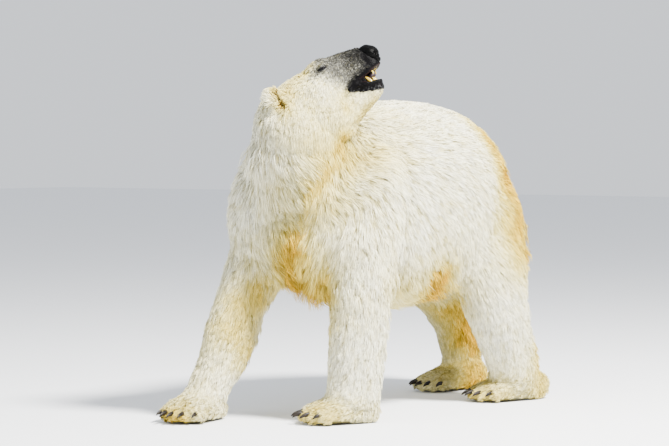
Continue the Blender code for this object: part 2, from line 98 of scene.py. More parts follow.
FLESH = ["head", "lower_jaw", "ear_left", "ear_right", "neck", "trunk", "tail"]
for each_leg in LEGS:
    FLESH += leg_nodes(each_leg)


# ---------------------------------------------------------------- small helpers
def unit(v):
    return v / np.maximum(np.linalg.norm(v, axis=-1, keepdims=True), 1e-9)


def step(low, high, x):
    """0 below low, 1 above high and smooth between; low may be the larger of the two."""
    t = np.clip((x - low) / (high - low), 0, 1)
    return t * t * (3 - 2 * t)


def hump(x, centre, width):
    return np.exp(-(((x - centre) / width) ** 2))


PERM = np.random.default_rng(5).permutation(256)


def noise(p, size, seed=0):
    """Smooth lattice noise from -1 to 1 with cells of the given size."""
    q = p / size + seed * 17.31
    cell = np.floor(q).astype(int)
    f = q - cell
    f = f * f * (3 - 2 * f)
    total = np.zeros(len(p))
    for corner in range(8):
        d = np.array([corner & 1, corner >> 1 & 1, corner >> 2 & 1])
        c = cell + d
        h = PERM[(PERM[(PERM[c[:, 0] & 255] + c[:, 1]) & 255] + c[:, 2]) & 255] / 127.5 - 1
        w = np.prod(np.where(d == 1, f, 1 - f), axis=1)
        total += w * h
    return total


def read(owner, attribute, width, kind=np.float64):
    out = np.empty(len(owner) * width, kind)
    owner.foreach_get(attribute, out)
    return out.reshape(-1, width) if width > 1 else out


def mesh_from(name, verts, loops, starts):
    """A mesh from its vertices, the corners of its faces in a row, and where each face starts."""
    me = bpy.data.meshes.new(name)
    me.vertices.add(len(verts))
    me.vertices.foreach_set("co", np.asarray(verts, np.float32).ravel())
    me.loops.add(len(loops))
    me.loops.foreach_set("vertex_index", np.asarray(loops, np.int32))
    me.polygons.add(len(starts))
    me.polygons.foreach_set("loop_start", np.asarray(starts, np.int32))
    me.update(calc_edges=True)
    shade_smooth(me)
    return me


def shade_smooth(me):
    me.polygons.foreach_set("use_smooth", np.ones(len(me.polygons), bool))


def move_to(me, co):
    me.vertices.foreach_set("co", co.astype(np.float32).ravel())
    me.update()


def add_object(name, me):
    obj = bpy.data.objects.new(name, me)
    bpy.context.scene.collection.objects.link(obj)
    return obj


def applied(obj):
    graph = bpy.context.evaluated_depsgraph_get()
    made = bpy.data.meshes.new_from_object(obj.evaluated_get(graph))
    obj.modifiers.clear()
    old, obj.data = obj.data, made
    bpy.data.meshes.remove(old)
    return obj


def levelled(node, verts):
    """A jaw's vertices with the CAD's teeth level with the gums, as the scene has its own teeth."""
    q = to_head(verts)
    jaw, level, way = ("teeth_upper", UPPER_GUM, -1) if node == "head" else ("teeth_lower", LOWER_GUM, 1)
    for x, (y0, _), (y1, _), radius in TEETH[jaw]:
        near = np.hypot(np.abs(q[:, 0]) - x, q[:, 1] - (y0 + y1) / 2) < radius + 0.0045
        q[near & ((q[:, 2] - level) * way > 0), 2] = level
    return from_head(q)


def joined(names, grow, teeth=True):
    """One mesh of several CAD nodes, each swollen by grow along its normals."""
    all_verts, all_loops, base = [], [], 0
    for name in names:
        me = bpy.data.objects[name].data
        me.calc_loop_triangles()
        co = read(me.vertices, "co", 3)
        tri = read(me.loop_triangles, "vertices", 3, np.int32)
        keys, back = np.unique(np.round(co, 6), axis=0, return_inverse=True)
        tri = back.reshape(-1)[tri]
        flat = np.cross(keys[tri[:, 1]] - keys[tri[:, 0]], keys[tri[:, 2]] - keys[tri[:, 0]])
        normal = np.zeros_like(keys)
        for k in range(3):
            np.add.at(normal, tri[:, k], flat)
        keys = keys + unit(normal) * grow
        if name in ("head", "lower_jaw") and not teeth:
            keys = levelled(name, keys)
        all_verts.append(keys)
        all_loops.append(tri.ravel() + base)
        base += len(keys)
    loops = np.concatenate(all_loops)
    return mesh_from("joined", np.vstack(all_verts), loops, np.arange(0, len(loops), 3))


def weigh(obj, name, weights):
    """A vertex group from an array of weights, rounded to a number of even grades."""
    group = obj.vertex_groups.new(name=name)
    grades = np.round(np.clip(weights, 0, 1) * WEIGHT_GRADES).astype(int)
    for grade in np.unique(grades):
        if grade:
            group.add(np.flatnonzero(grades == grade).tolist(), grade / WEIGHT_GRADES, "REPLACE")
    return group.name


# ---------------------------------------------------------------- the head's own frame
HEAD_PITCH, HEAD_YAW, HEAD_SCALE = math.radians(35), math.radians(115), 0.95
EYE = np.array((0.064, 0.194, 0.075))  # right and left eye at -x and +x
EYE_RADIUS = 0.0135
HEAD_MIDDLE = np.array((0, 0.12, -0.02))
EAR = np.array((0.106, 0.400, 0.090))


def middle(node):
    low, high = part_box(node)
    return (np.array(low) + np.array(high)) / 2


def way_of(turn, rise):
    """A direction from its turn from -Y towards +X and its rise, both in radians."""
    return np.array((math.sin(turn) * math.cos(rise), -math.cos(turn) * math.cos(rise), math.sin(rise)))


AHEAD = way_of(HEAD_YAW, HEAD_PITCH)
HEAD_LEFT = unit(np.cross(AHEAD, (0, 0, -1)))
HEAD_UP = np.cross(HEAD_LEFT, -AHEAD)
HEAD_AXES = np.array((HEAD_LEFT, -AHEAD, HEAD_UP))
HEAD_ORIGIN = (middle("eye_left") + middle("eye_right")) / 2 - (EYE[1:] * HEAD_SCALE) @ HEAD_AXES[1:]


def to_head(p):
    return (p - HEAD_ORIGIN) @ HEAD_AXES.T / HEAD_SCALE


def from_head(q):
    return q @ HEAD_AXES * HEAD_SCALE + HEAD_ORIGIN


def near_line(q, line):
    """Distance from each point to a polyline, and how far along it (0 to 1) the nearest place is."""
    line = np.asarray(line, float)
    best, along = np.full(len(q), 9.0), np.zeros(len(q))
    spans = len(line) - 1
    for i in range(spans):
        a, d = line[i], line[i + 1] - line[i]
        t = np.clip(((q - a) @ d) / (d @ d), 0, 1)
        gap = np.linalg.norm(q - a - t[:, None] * d, axis=1)
        closer = gap < best
        best = np.where(closer, gap, best)
        along = np.where(closer, (i + t) / spans, along)
    return best, along


def both_sides(q):
    """The point mirrored to the head's left half, where the face's lines are written."""
    return np.column_stack([np.abs(q[:, 0]), q[:, 1:]])


def ear_places(q):
    """How far the slit that opens the nearer ear is, and the way out from it, across EAR_WAY."""
    turn = np.where(q[:, :1] < 0, -1, 1) * np.array((1, 0, 0)) + (0, 1, 1)
    gap, along = near_line(q * turn, EAR_SLIT)
    places = np.linspace(0, 1, len(EAR_SLIT))
    off = q * turn - np.column_stack([np.interp(along, places, row) for row in zip(*EAR_SLIT)])
    flat = off - (off @ EAR_WAY)[:, None] * EAR_WAY
    return gap, unit(flat) * turn


# Lines of the face, in the head's frame, on its left half.
SLIT = [(0.070, 0.167, 0.0722), (0.0765, 0.180, 0.0735), (0.080, 0.194, 0.0750),
        (0.081, 0.206, 0.0765), (0.081, 0.217, 0.0778)]
TEAR = [(0.070, 0.167, 0.0722), (0.061, 0.155, 0.0785), (0.050, 0.138, 0.0815), (0.042, 0.121, 0.0815)]
EAR_SLIT = [(0.092, 0.385, 0.092), (0.113, 0.385, 0.064), (0.127, 0.382, 0.037)]
EAR_WAY = np.array((0.597, -0.764, 0.242))  # where the hollow of the left ear faces
FOLDS = [  # each with its depth and its width
    ([(0.078, 0.231, 0.086), (0.088, 0.236, 0.066), (0.096, 0.238, 0.044)], 0.0030, 0.0030),
    ([(0.098, 0.262, 0.050), (0.100, 0.250, 0.030), (0.098, 0.236, 0.018)], 0.0025, 0.0030),
    ([(0.104, 0.296, 0.050), (0.104, 0.280, 0.040), (0.103, 0.268, 0.022)], 0.0022, 0.0030),
    ([(0.086, 0.214, 0.050), (0.084, 0.204, 0.046)], 0.0022, 0.0026),
    ([(0.080, 0.192, 0.047), (0.079, 0.182, 0.040)], 0.0020, 0.0026),
    ([(0.060, 0.182, 0.098), (0.066, 0.200, 0.094), (0.072, 0.216, 0.087)], 0.0018, 0.0030),
]
# Edges of the lips and of the lower lip's black, as y and the height there.
UPPER_LIP = ((0.010, 0.020, 0.037, 0.064, 0.086, 0.105, 0.124, 0.151, 0.162),
             (-0.026, -0.029, -0.031, -0.028, -0.027, -0.029, -0.034, -0.042, -0.047))
LOWER_LIP = ((0.046, 0.060, 0.078, 0.0925, 0.116, 0.128, 0.162),
             (-0.069, -0.066, -0.060, -0.052, -0.045, -0.040, -0.047))
BLACK_EDGE = ((0.040, 0.060, 0.094, 0.118, 0.143, 0.160),
              (-0.121, -0.114, -0.099, -0.085, -0.070, -0.056))
UPPER_GUM, LOWER_GUM = -0.0345, -0.0725

# Teeth: x, then y and z of the root and of the tip, and the root's radius, on the head's left half.
TEETH = {
    "teeth_upper": [
        (0.0250, (0.0530, -0.022), (0.0540, -0.0480), 0.0046),
        (0.0165, (0.0440, -0.024), (0.0430, -0.0360), 0.0036),
        (0.0098, (0.0410, -0.024), (0.0400, -0.0345), 0.0032),
        (0.0033, (0.0400, -0.024), (0.0390, -0.0340), 0.0030),
    ],
    "teeth_lower": [
        (0.0260, (0.0790, -0.086), (0.0890, -0.0330), 0.0092),
        (0.0150, (0.0700, -0.080), (0.0660, -0.0510), 0.0046),
        (0.0090, (0.0665, -0.080), (0.0630, -0.0520), 0.0040),
        (0.0030, (0.0655, -0.080), (0.0620, -0.0525), 0.0038),
    ],
}


# ---------------------------------------------------------------- the skin
def coat_depth(weights, q):
    """How deep the skin lies below the CAD's surface, per vertex."""
    depth = weights @ DEPTHS
    face = step(0.33, 0.12, q[:, 1]) * of_kind(weights, "head")
    return depth * (1 - face) + FACE_DEPTH * face


# Per kind of place: the depth of the coat, and the tufts' length, width, lift at the tip as a share
# of that depth, spread of their heading in radians, how far they gather in locks, and their number
# to a square metre.
KINDS = {
    "head": (0.0075, 0.026, 0.0022, 0.8, 0.15, 0.40, 72000),
    "ear": (0.0025, 0.019, 0.0020, 1.6, 0.22, 0.20, 110000),
    "neck": (0.0170, 0.056, 0.0027, 1.0, 0.11, 0.66, 36000),
    "trunk": (0.0160, 0.054, 0.0027, 0.9, 0.09, 0.60, 31000),
    "leg": (0.0140, 0.046, 0.0025, 1.0, 0.11, 0.60, 36000),
    "shank": (0.0110, 0.036, 0.0023, 1.0, 0.12, 0.52, 42000),
    "paw": (0.0060, 0.019, 0.0022, 1.0, 0.22, 0.30, 52000),
    "tail": (0.0120, 0.045, 0.0026, 1.0, 0.15, 0.50, 38000),
}
KIND_NAMES = list(KINDS)
DEPTHS = np.array([KINDS[k][0] for k in KIND_NAMES])
FACE_DEPTH = 0.0028


def of_kind(weights, name):
    return weights[:, KIND_NAMES.index(name)]


def kind_of(node):
    if node in ("head", "lower_jaw"):
        return "head"
    if node.startswith("ear"):
        return "ear"
    if "leg_upper" in node:
        return "leg"
    if "leg_lower" in node:
        return "shank"
    if "paw" in node:
        return "paw"
    return node


def spread(values, edges, rounds):
    """Values per vertex, averaged over the edges again and again."""
    count = len(values)
    degree = np.bincount(edges.ravel(), minlength=count)[:, None]
    a, b = edges.T
    for _ in range(rounds):
        columns = [np.bincount(a, v[b], count) + np.bincount(b, v[a], count) for v in values.T]
        values = 0.5 * values + 0.5 * np.column_stack(columns) / np.maximum(degree, 1)
    return values


def solids_tree(names):
    """A search tree of the CAD's triangles, and which of the names each triangle is part of."""
    points, faces, owners, base = [], [], [], 0
    for i, name in enumerate(names):
        me = bpy.data.objects[name].data
        me.calc_loop_triangles()
        co = read(me.vertices, "co", 3)
        tri = read(me.loop_triangles, "vertices", 3, np.int32) + base
        points.append(co)
        faces.append(tri)
        owners.append(np.full(len(tri), i))
        base += len(co)
    tree = BVHTree.FromPolygons(np.vstack(points).tolist(), np.vstack(faces).tolist())
    return tree, np.concatenate(owners)


def nearest_nodes(verts):
    """The CAD node that each vertex lies nearest to, as an index into FLESH."""
    tree, owners = solids_tree(FLESH)
    found = [tree.find_nearest(v)[2] for v in verts.tolist()]
    return owners[np.array(found)]


def heading(from_node, to_node):
    return unit(middle(to_node) - middle(from_node))


PAW_HEADINGS = {"fore_left": -30, "fore_right": 4, "hind_left": -22, "hind_right": -8}  # in degrees

# The middle of the breast, seen from ahead, is a straight line from the brisket up to the jaw. It is
# kept as heights and x, and it leans to the left because the neck is turned that way.
BRISKET = np.array((0.01, -0.50, 0.50))
JAW = middle("lower_jaw")
BREAST = ((BRISKET[2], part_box("lower_jaw")[0][2]), (0.0, JAW[0]))
FRONT, _ = solids_tree(["head", "neck", "trunk"])


def on_front(x, height):
    """Where a ray from ahead of the bear, at this x and height, meets its front."""
    return np.array(FRONT.ray_cast(Vector((x, cad_box[0][1], height)), Vector((0, 1, 0)))[0])


def lie_of_hair(co, normals, owner):
    """Which way the hair lies at each vertex, before the places blend into each other."""
    x, y, z = co.T
    nx, ny, nz = normals.T
    q = to_head(co)
    side = np.abs(nx)
    lie = np.zeros_like(co)

    def put(nodes, *parts):
        rows = np.isin(owner, [FLESH.index(n) for n in nodes])
        vector = np.column_stack([np.broadcast_to(p, len(co)) for p in parts])
        lie[rows] = unit(vector[rows])

    rump = step(0.42, 0.62, y)
    front = step(-0.40, -0.54, y) * step(0.3, -0.3, ny)
    crossing = x - np.interp(z, *BREAST)
    inward = -np.clip(crossing * 22, -1, 1) * step(0.30, 0.12, np.abs(crossing))
    beyond = step(0.02, 0.10, crossing)
    shoulder = step(-0.12, -0.42, y)
    drop = 0.06 + 0.55 * side * step(1.12, 0.85, z) + 0.9 * side * step(0.85, 0.60, z)
    drop += 0.5 * rump + 1.1 * front + 0.7 * shoulder
    backward = (1 - 0.35 * rump) * (1 - front) + 0.35 * step(0.60, 0.50, z) * front
    put(["trunk"], front * inward, backward, -drop)
    put(["tail"], 0, 0.3, -1)
    back_of_neck = step(-0.2, 0.5, normals @ unit(np.array((-0.35, 0.5, 0.5))))
    ventral = step(0.1, -0.6, ny) * step(0.20, 0.05, np.abs(crossing))
    across = (-0.10 + ventral * inward) * (1 - beyond) + 0.25 * beyond
    backward = (0.30 + 0.5 * back_of_neck) * (1 - beyond) + 0.95 * beyond
    put(["neck"], across, backward, -1 + 0.15 * ventral + 0.45 * beyond)
    cheek = step(0.05, 0.22, q[:, 1]) * step(0.10, 0.02, q[:, 2])
    down = np.where(q[:, 2] < 0.09, 1.35 * cheek, 0.0)
    ways = np.column_stack([np.sign(q[:, 0]) * 0.25 * step(0.1, 0.2, q[:, 1]), np.ones(len(q)), -down])
    ways = unit(ways @ HEAD_AXES)
    put(["head", "lower_jaw"], *ways.T)
    ear_gap, outward = ear_places(q)
    outward = unit((outward + (0, 0.30, 0.10)) @ HEAD_AXES)
    put(["ear_left", "ear_right"], *outward.T)
    beside_ear = step(0.032, 0.016, ear_gap)[:, None]
    lie = unit(lie * (1 - beside_ear) + outward * beside_ear)
    for name in LEGS:
        upper, lower, paw = leg_nodes(name)
        down_upper, down_lower = heading(upper, lower), heading(lower, paw)
        sweep = 0.55 if name.startswith("hind") else 0.25
        rear = step(0.0, 0.8, ny)
        put([upper], down_upper[0], down_upper[1] + sweep * side + 0.7 * rear, down_upper[2])
        put([lower], down_lower[0], down_lower[1] + 0.15 + 0.65 * rear, down_lower[2])
        angle = math.radians(PAW_HEADINGS[name])
        toes = np.array((math.sin(angle), -math.cos(angle), 0))
        ahead = (co - middle(paw)) @ toes
        forward = step(-0.09, 0.0, ahead)
        put([paw], toes[0] * forward, toes[1] * forward, -0.45 - 0.5 * (1 - forward))
    return lie


def refine(obj, chosen):
    """Splits every edge between chosen vertices in two."""
    bm = bmesh.new()
    bm.from_mesh(obj.data)
    bm.verts.ensure_lookup_table()
    mask = chosen(read(obj.data.vertices, "co", 3))
    edges = [e for e in bm.edges if mask[e.verts[0].index] and mask[e.verts[1].index]]
    bmesh.ops.subdivide_edges(bm, edges=edges, cuts=1, use_grid_fill=True)
    bmesh.ops.triangulate(bm, faces=[f for f in bm.faces if len(f.verts) > 4])
    bm.to_mesh(obj.data)
    bm.free()


def smoothed(obj, weights, rounds):
    """Blends away the CAD's facets, most where weights is 1."""
    blend = obj.modifiers.new("blend", "SMOOTH")
    blend.factor = 0.5
    blend.iterations = rounds
    blend.vertex_group = weigh(obj, "blend", weights)
    applied(obj)
    obj.vertex_groups.clear()


def near_mouth(q, margin=0.0):
    """Inside the open mouth or on its rim, with the margin round it."""
    top = np.interp(q[:, 1], *UPPER_LIP) + margin
    low = np.interp(q[:, 1], *LOWER_LIP) - margin
    return (q[:, 1] < 0.158 + margin) & (q[:, 2] < top) & (q[:, 2] > low) & (np.abs(q[:, 0]) < 0.09)


def sculpt_face(obj):
    """Lids with a narrow slit, folds, and the lips' edge."""
    me = obj.data
    co = read(me.vertices, "co", 3)
    normals = read(me.vertices, "normal", 3)
    q = to_head(co)
    local_normal = normals @ HEAD_AXES.T
    m = both_sides(q)
    # Lids: the skin lies over the eyeball, and a dark slit opens it.
    out = m - EYE
    reach = np.linalg.norm(out, axis=1)
    over = (reach < 0.030) & (out[:, 0] > -0.004)
    lid = EYE_RADIUS + 0.0026
    swell = np.where(over, lid - reach, 0)
    swell = np.where(swell > 0, swell, swell * 0.25 * step(0.026, 0.016, reach))
    slit, along = near_line(m, SLIT)
    opening = 0.0024 * np.sqrt(np.clip(np.sin(np.pi * np.clip(along, 0.02, 0.98)), 0, 1))
    rim = 0.0012 * hump(slit, 0.0050, 0.0022)
    cleft = -0.0058 * step(opening + 0.0010, opening - 0.0006, slit)
    push = np.where(over, swell, 0)[:, None] * unit(out)
    # Folds of the brow and cheek, the tear line, and the swelling of the lips.
    along_normal = rim + cleft
    for line, depth, width in FOLDS:
        gap, t = near_line(m, line)
        along_normal += -depth * hump(gap, 0, width) * np.sqrt(np.sin(np.pi * np.clip(t, 0.05, 0.95)))
        along_normal += 0.35 * depth * hump(gap, 2.1 * width, width)
    gap, _ = near_line(m, TEAR)
    along_normal += -0.0016 * hump(gap, 0, 0.0022)
    ear_gap, _ = ear_places(q)
    along_normal += -0.0130 * step(0.0125, 0.0035, ear_gap) + 0.0030 * hump(ear_gap, 0.018, 0.006)
    low = np.interp(q[:, 1], *LOWER_LIP)
    lower = (m[:, 0] < 0.09) & (q[:, 1] < 0.165) & (q[:, 2] < low + 0.004) & (q[:, 2] > low - 0.036)
    lip = np.where(lower, hump(q[:, 2], low - 0.012, 0.013), 0) * step(0.165, 0.14, q[:, 1])
    along_normal += 0.0016 * lip * noise(q, 0.0075, 7)
    # The groove that runs from the nose down to the lip.
    below_nose = step(0.03, 0.012, q[:, 1]) * step(-0.034, -0.020, q[:, 2])
    along_normal += -0.0024 * hump(q[:, 0], 0, 0.0024) * below_nose
    moved = q + mirrored_push(push, q) + local_normal * along_normal[:, None]
    in_face = ((q[:, 1] < 0.36) | (ear_gap < 0.035))[:, None]
    co = np.where(in_face, from_head(moved), co)
    move_to(me, co)


def mirrored_push(push, q):
    return np.column_stack([push[:, 0] * np.sign(q[:, 0]), push[:, 1:]])


def remeshed(name, source, voxel):
    obj = add_object(name, source)
    weld = obj.modifiers.new("weld", "REMESH")
    weld.mode = "VOXEL"
    weld.voxel_size = voxel
    return applied(obj)


# Rolls of the lips and the web of skin at each corner of the mouth, in the head's frame: the middle
# line of the left half, from the corner to the front, and the radius at each place.
LOWER_ROLL = [(0.046, 0.165, -0.0530, 0.0060), (0.046, 0.145, -0.0515, 0.0095),
              (0.045, 0.128, -0.0500, 0.0105), (0.0435, 0.112, -0.0560, 0.0110),
              (0.0405, 0.0925, -0.0630, 0.0115), (0.036, 0.078, -0.0710, 0.0112),
              (0.025, 0.058, -0.0770, 0.0108), (0.000, 0.0475, -0.0795, 0.0102)]
UPPER_ROLL = [(0.049, 0.170, -0.0430, 0.0060), (0.049, 0.151, -0.0345, 0.0075),
              (0.048, 0.124, -0.0265, 0.0075), (0.046, 0.105, -0.0220, 0.0075),
              (0.043, 0.086, -0.0200, 0.0075), (0.039, 0.064, -0.0205, 0.0075),
              (0.030, 0.037, -0.0235, 0.0072), (0.018, 0.020, -0.0235, 0.0065),
              (0.000, 0.0125, -0.0225, 0.0060)]
WEB = [(0.040, 0.119, -0.0360, 0.0040), (0.042, 0.130, -0.0390, 0.0080), (0.044, 0.145, -0.0440, 0.0105),
       (0.045, 0.165, -0.0490, 0.0115), (0.045, 0.190, -0.0530, 0.0110), (0.043, 0.205, -0.0550, 0.0)]


def mouth_rolls():
    """Closed solids for the rolls of the lips and for the webs at the corners of the mouth."""
    paths = []
    for roll in (LOWER_ROLL, UPPER_ROLL):
        rows = np.array(roll + [(-x, y, z, r) for x, y, z, r in reversed(roll[:-1])])
        rows = np.vstack([rows, rows[-1] + (0, 0.004, 0, -rows[-1][3])])
        paths.append(curve(rows, 4))
    for sign in (1, -1):
        paths.append(curve(np.array(WEB) * (sign, 1, 1, 1), 3))
    made = []
    for rows in paths:
        radii = np.maximum(rows[:, 3], 0) * HEAD_SCALE
        radii[-1] = 0
        made.append(ring_solid(from_head(rows[:, :3]), radii, np.tile(HEAD_UP, (len(rows), 1))))
    return made


def curve(rows, steps):
    """A Catmull-Rom curve through rows of numbers."""
    control = np.vstack([2 * rows[0] - rows[1], rows, 2 * rows[-1] - rows[-2]])
    t = np.linspace(0, len(rows) - 1, (len(rows) - 1) * steps + 1)
    low = np.clip(np.floor(t).astype(int), 0, len(rows) - 2)
    f = (t - low)[:, None]
    p0, p1, p2, p3 = (control[low + k] for k in range(4))
    bend = (2 * p0 - 5 * p1 + 4 * p2 - p3) * f**2 + (3 * p1 - p0 - 3 * p2 + p3) * f**3
    return 0.5 * (2 * p1 + (p2 - p0) * f + bend)


def with_shapes(me, shapes):
    """The mesh with the shapes joined to it."""
    whole = bmesh.new()
    whole.from_mesh(me)
    for shape in shapes:
        part = bpy.data.meshes.new("part")
        shape.to_mesh(part)
        shape.free()
        whole.from_mesh(part)
        bpy.data.meshes.remove(part)
    whole.to_mesh(me)
    whole.free()
    return me


def head_share(q, inner, outer):
    """1 within the inner reach of the head's middle, fading to 0 at the outer reach."""
    return step(outer, inner, np.linalg.norm(q - HEAD_MIDDLE, axis=1))


def build_guide():
    """A coarse mesh of the whole bear that carries the kind of coat and the lie of the hair."""
    obj = remeshed("guide", joined(FLESH, SWELL), GUIDE_VOXEL)
    me = obj.data
    co = read(me.vertices, "co", 3)
    normals = read(me.vertices, "normal", 3)
    edges = read(me.edges, "vertices", 2, np.int32)
    owner = nearest_nodes(co)
    kinds = np.array([KIND_NAMES.index(kind_of(n)) for n in FLESH])
    rough = np.zeros((len(co), len(KIND_NAMES)))
    rough[np.arange(len(co)), kinds[owner]] = 1
    kind = spread(rough, edges, 7)
    lie = lie_of_hair(co, normals, owner)
    for _ in range(4):
        lie = spread(lie, edges, 4)
        lie -= normals * (lie * normals).sum(1)[:, None]
        lie = unit(lie)
    tree = point_tree(co)
    bpy.data.objects.remove(obj)
    return tree, kind, lie, owner


def point_tree(points):
    tree = KDTree(len(points))
    for i, p in enumerate(points.tolist()):
        tree.insert(p, i)
    tree.balance()
    return tree


def from_guide(guide, points, *fields):
    """The guide's fields at points, from its three nearest vertices."""
    tree = guide[0]
    index = np.empty((len(points), 3), int)
    gap = np.empty((len(points), 3))
    for i, p in enumerate(points.tolist()):
        found = tree.find_n(p, 3)
        index[i] = [f[1] for f in found]
        gap[i] = [f[2] for f in found]
    share = 1 / (gap + 0.002) ** 2
    share /= share.sum(1)[:, None]
    return [(field[index] * share[:, :, None]).sum(1) for field in fields] + [guide[3][index[:, 0]]]


def build_skin(guide):
    """One skin for all the flesh, inside the CAD's surface by the depth of the coat."""
    nodes = FLESH + ["eye_left", "eye_right"]
    fine, obj = (remeshed(name, with_shapes(joined(nodes, SWELL, teeth=False), mouth_rolls()), voxel)
                 for name, voxel in (("fine", FACE_VOXEL), ("skin", SKIN_VOXEL)))
    refine(obj, lambda v: head_zone(to_head(v)) | (v[:, 2] < 0.085))
    co = read(obj.data.vertices, "co", 3)
    detail = np.maximum(head_share(to_head(co), 0.44, 0.56), step(0.11, 0.08, co[:, 2]))
    wrap = obj.modifiers.new("wrap", "SHRINKWRAP")
    wrap.target = fine
    wrap.wrap_method = "NEAREST_SURFACEPOINT"
    wrap.vertex_group = weigh(obj, "wrap", np.where(detail > 0.02, 1.0, 0.0))
    applied(obj)
    obj.vertex_groups.clear()
    bpy.data.objects.remove(fine)
    smoothed(obj, 1 - 0.93 * detail, 40)
    smoothed(obj, np.full(len(co), 0.7), 4)
    me = obj.data
    co = read(me.vertices, "co", 3)
    normals = read(me.vertices, "normal", 3)
    kind, _ = from_guide(guide, co, guide[1])
    co -= normals * coat_depth(kind, to_head(co))[:, None]
    co[:, 2] = np.maximum(co[:, 2], SOLE_HEIGHT)
    move_to(me, co)
    smoothed(obj, np.full(len(co), 0.6), 2)
    refine(obj, lambda v: face_zone(to_head(v), 0.215))
    refine(obj, lambda v: eye_zone(to_head(v)))
    smooth_face(obj, 0.23, 0.8, 3)
    sculpt_face(obj)
    smooth_face(obj, 0.30, 0.35, 1)
    shade_smooth(obj.data)
    return obj


def smooth_face(obj, back, weight, rounds):
    face = face_zone(to_head(read(obj.data.vertices, "co", 3)), back)
    smoothed(obj, np.where(face, weight, 0), rounds)


def head_zone(q):
    return (q[:, 1] < 0.47) & (q[:, 2] > -0.15) & (q[:, 2] < 0.16) & (np.abs(q[:, 0]) < 0.19)


def face_zone(q, back):
    return (q[:, 1] < back) & (q[:, 2] > -0.16) & (np.abs(q[:, 0]) < 0.14)


def eye_zone(q):
    m = both_sides(q)
    return (near_line(m, SLIT)[0] < 0.020) | (near_line(m, EAR_SLIT)[0] < 0.022)


# ---------------------------------------------------------------- the markings
WHITE = np.array((0.86, 0.85, 0.765))
STAIN_AND_SHADE_TAKE_UP = np.array((0.38, 0.72, 2.8))  # how fast a golden stain takes up red, green and blue; the painted shade of the coat's roots and lock borders uses it too
DEEP = np.array((0.10, 0.15, 0.40))  # and what it takes up beside that where it is strong
BLACK = np.array((0.0022, 0.0020, 0.0022))
MOUTH = np.array((0.010, 0.005, 0.005))
GUM = np.array((0.20, 0.075, 0.070))
GREY = np.array((0.745, 0.750, 0.772))

# The throat's line: down the front of the breast, and from its top a quarter of the way to the jaw.
THROAT_POINTS = 8
THROAT_HEIGHTS = np.linspace(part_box("head")[0][2], BRISKET[2], THROAT_POINTS)
THROAT = [on_front(np.interp(height, *BREAST), height) for height in THROAT_HEIGHTS]
THROAT.insert(0, THROAT[0] + (JAW - THROAT[0]) / 4)

# Golden stains, some of them deepened with painted shade: a line on the body, its reach and its strength.
STAIN_AND_SHADE_LINES = [
    (THROAT, 0.030, 0.48),
    (THROAT[1:], 0.130, 0.34),
    # Down the breast to the brisket: its golden stain, deepened by painted shade in the cleft between the
    # forelegs.
    ([(0.046, -0.600, 0.630), (0.006, -0.556, 0.565), (-0.030, -0.490, 0.515), (-0.010, -0.440, 0.47)],
     0.072, 0.95),
    ([(-0.150, -0.560, 0.47), (-0.176, -0.600, 0.43), (-0.182, -0.610, 0.36), (-0.195, -0.580, 0.26)],
     0.062, 0.52),
    ([(-0.220, -0.660, 0.55), (-0.260, -0.720, 0.30), (-0.290, -0.780, 0.10)], 0.090, 0.12),
    ([(0.115, -0.500, 0.52), (0.115, -0.440, 0.38)], 0.075, 0.62),
    ([(0.230, -0.380, 0.50), (0.260, -0.150, 0.46), (0.240, 0.000, 0.46)], 0.090, 0.25),
    ([(0.000, -0.400, 0.45), (0.000, 0.000, 0.42), (0.000, 0.250, 0.44)], 0.140, 0.45),
    ([(0.255, -0.010, 0.520), (0.225, 0.020, 0.47), (0.165, 0.090, 0.44), (0.120, 0.220, 0.42)], 0.068, 1.35),
    ([(0.262, -0.030, 0.520), (0.225, 0.000, 0.47), (0.165, 0.080, 0.44)], 0.110, 0.30),
    ([(-0.160, 0.090, 0.44), (-0.110, 0.260, 0.42)], 0.070, 0.75),
    ([(0.225, 0.400, 1.01), (0.262, 0.460, 0.89), (0.305, 0.475, 0.78), (0.325, 0.485, 0.70),
      (0.338, 0.490, 0.58)], 0.080, 0.45),
    ([(0.200, 0.350, 1.03), (0.262, 0.375, 0.92), (0.305, 0.390, 0.82), (0.325, 0.400, 0.72),
      (0.335, 0.410, 0.60)], 0.100, 0.76),
    ([(-0.280, 0.400, 0.92), (-0.290, 0.500, 0.75), (-0.280, 0.560, 0.58)], 0.110, 0.18),
    ([(0.260, 0.520, 0.85), (0.200, 0.590, 0.70), (0.160, 0.620, 0.58)], 0.130, 0.32),
    ([(0.150, 0.500, 0.95), (0.060, 0.600, 0.80), (0.000, 0.640, 0.70), (0.000, 0.560, 0.55)], 0.110, 0.50),
    # Along the rear edge of the right hind leg: its golden stain, deepened by painted shade.
    ([(-0.085, 0.680, 0.35), (-0.065, 0.790, 0.21)], 0.070, 0.95),
    ([(-0.065, 0.740, 0.21), (-0.062, 0.775, 0.12), (-0.088, 0.770, 0.04)], 0.092, 1.35),
    ([(-0.150, 0.640, 0.34), (-0.150, 0.690, 0.14), (-0.150, 0.680, 0.04)], 0.120, 0.10),
    ([(-0.160, 0.300, 0.42), (-0.170, 0.480, 0.38), (-0.165, 0.600, 0.34)], 0.070, 0.40),
    ([(0.150, 0.420, 0.34), (0.150, 0.500, 0.16)], 0.080, 0.60),
    ([(0.320, 0.560, 0.20), (0.338, 0.600, 0.07), (0.300, 0.620, 0.02)], 0.070, 0.48),
    # The right forepaw's toes: dirt, deepened by painted shade.
    ([(-0.350, -0.900, 0.01), (-0.230, -0.890, 0.01)], 0.062, 0.90),
    ([(0.060, -0.680, 0.02), (0.160, -0.560, 0.02)], 0.080, 0.38),
    ([(0.090, 0.330, 0.02), (0.240, 0.420, 0.02)], 0.080, 0.42),
    ([(-0.250, 0.560, 0.01), (-0.160, 0.600, 0.01)], 0.075, 0.10),
]
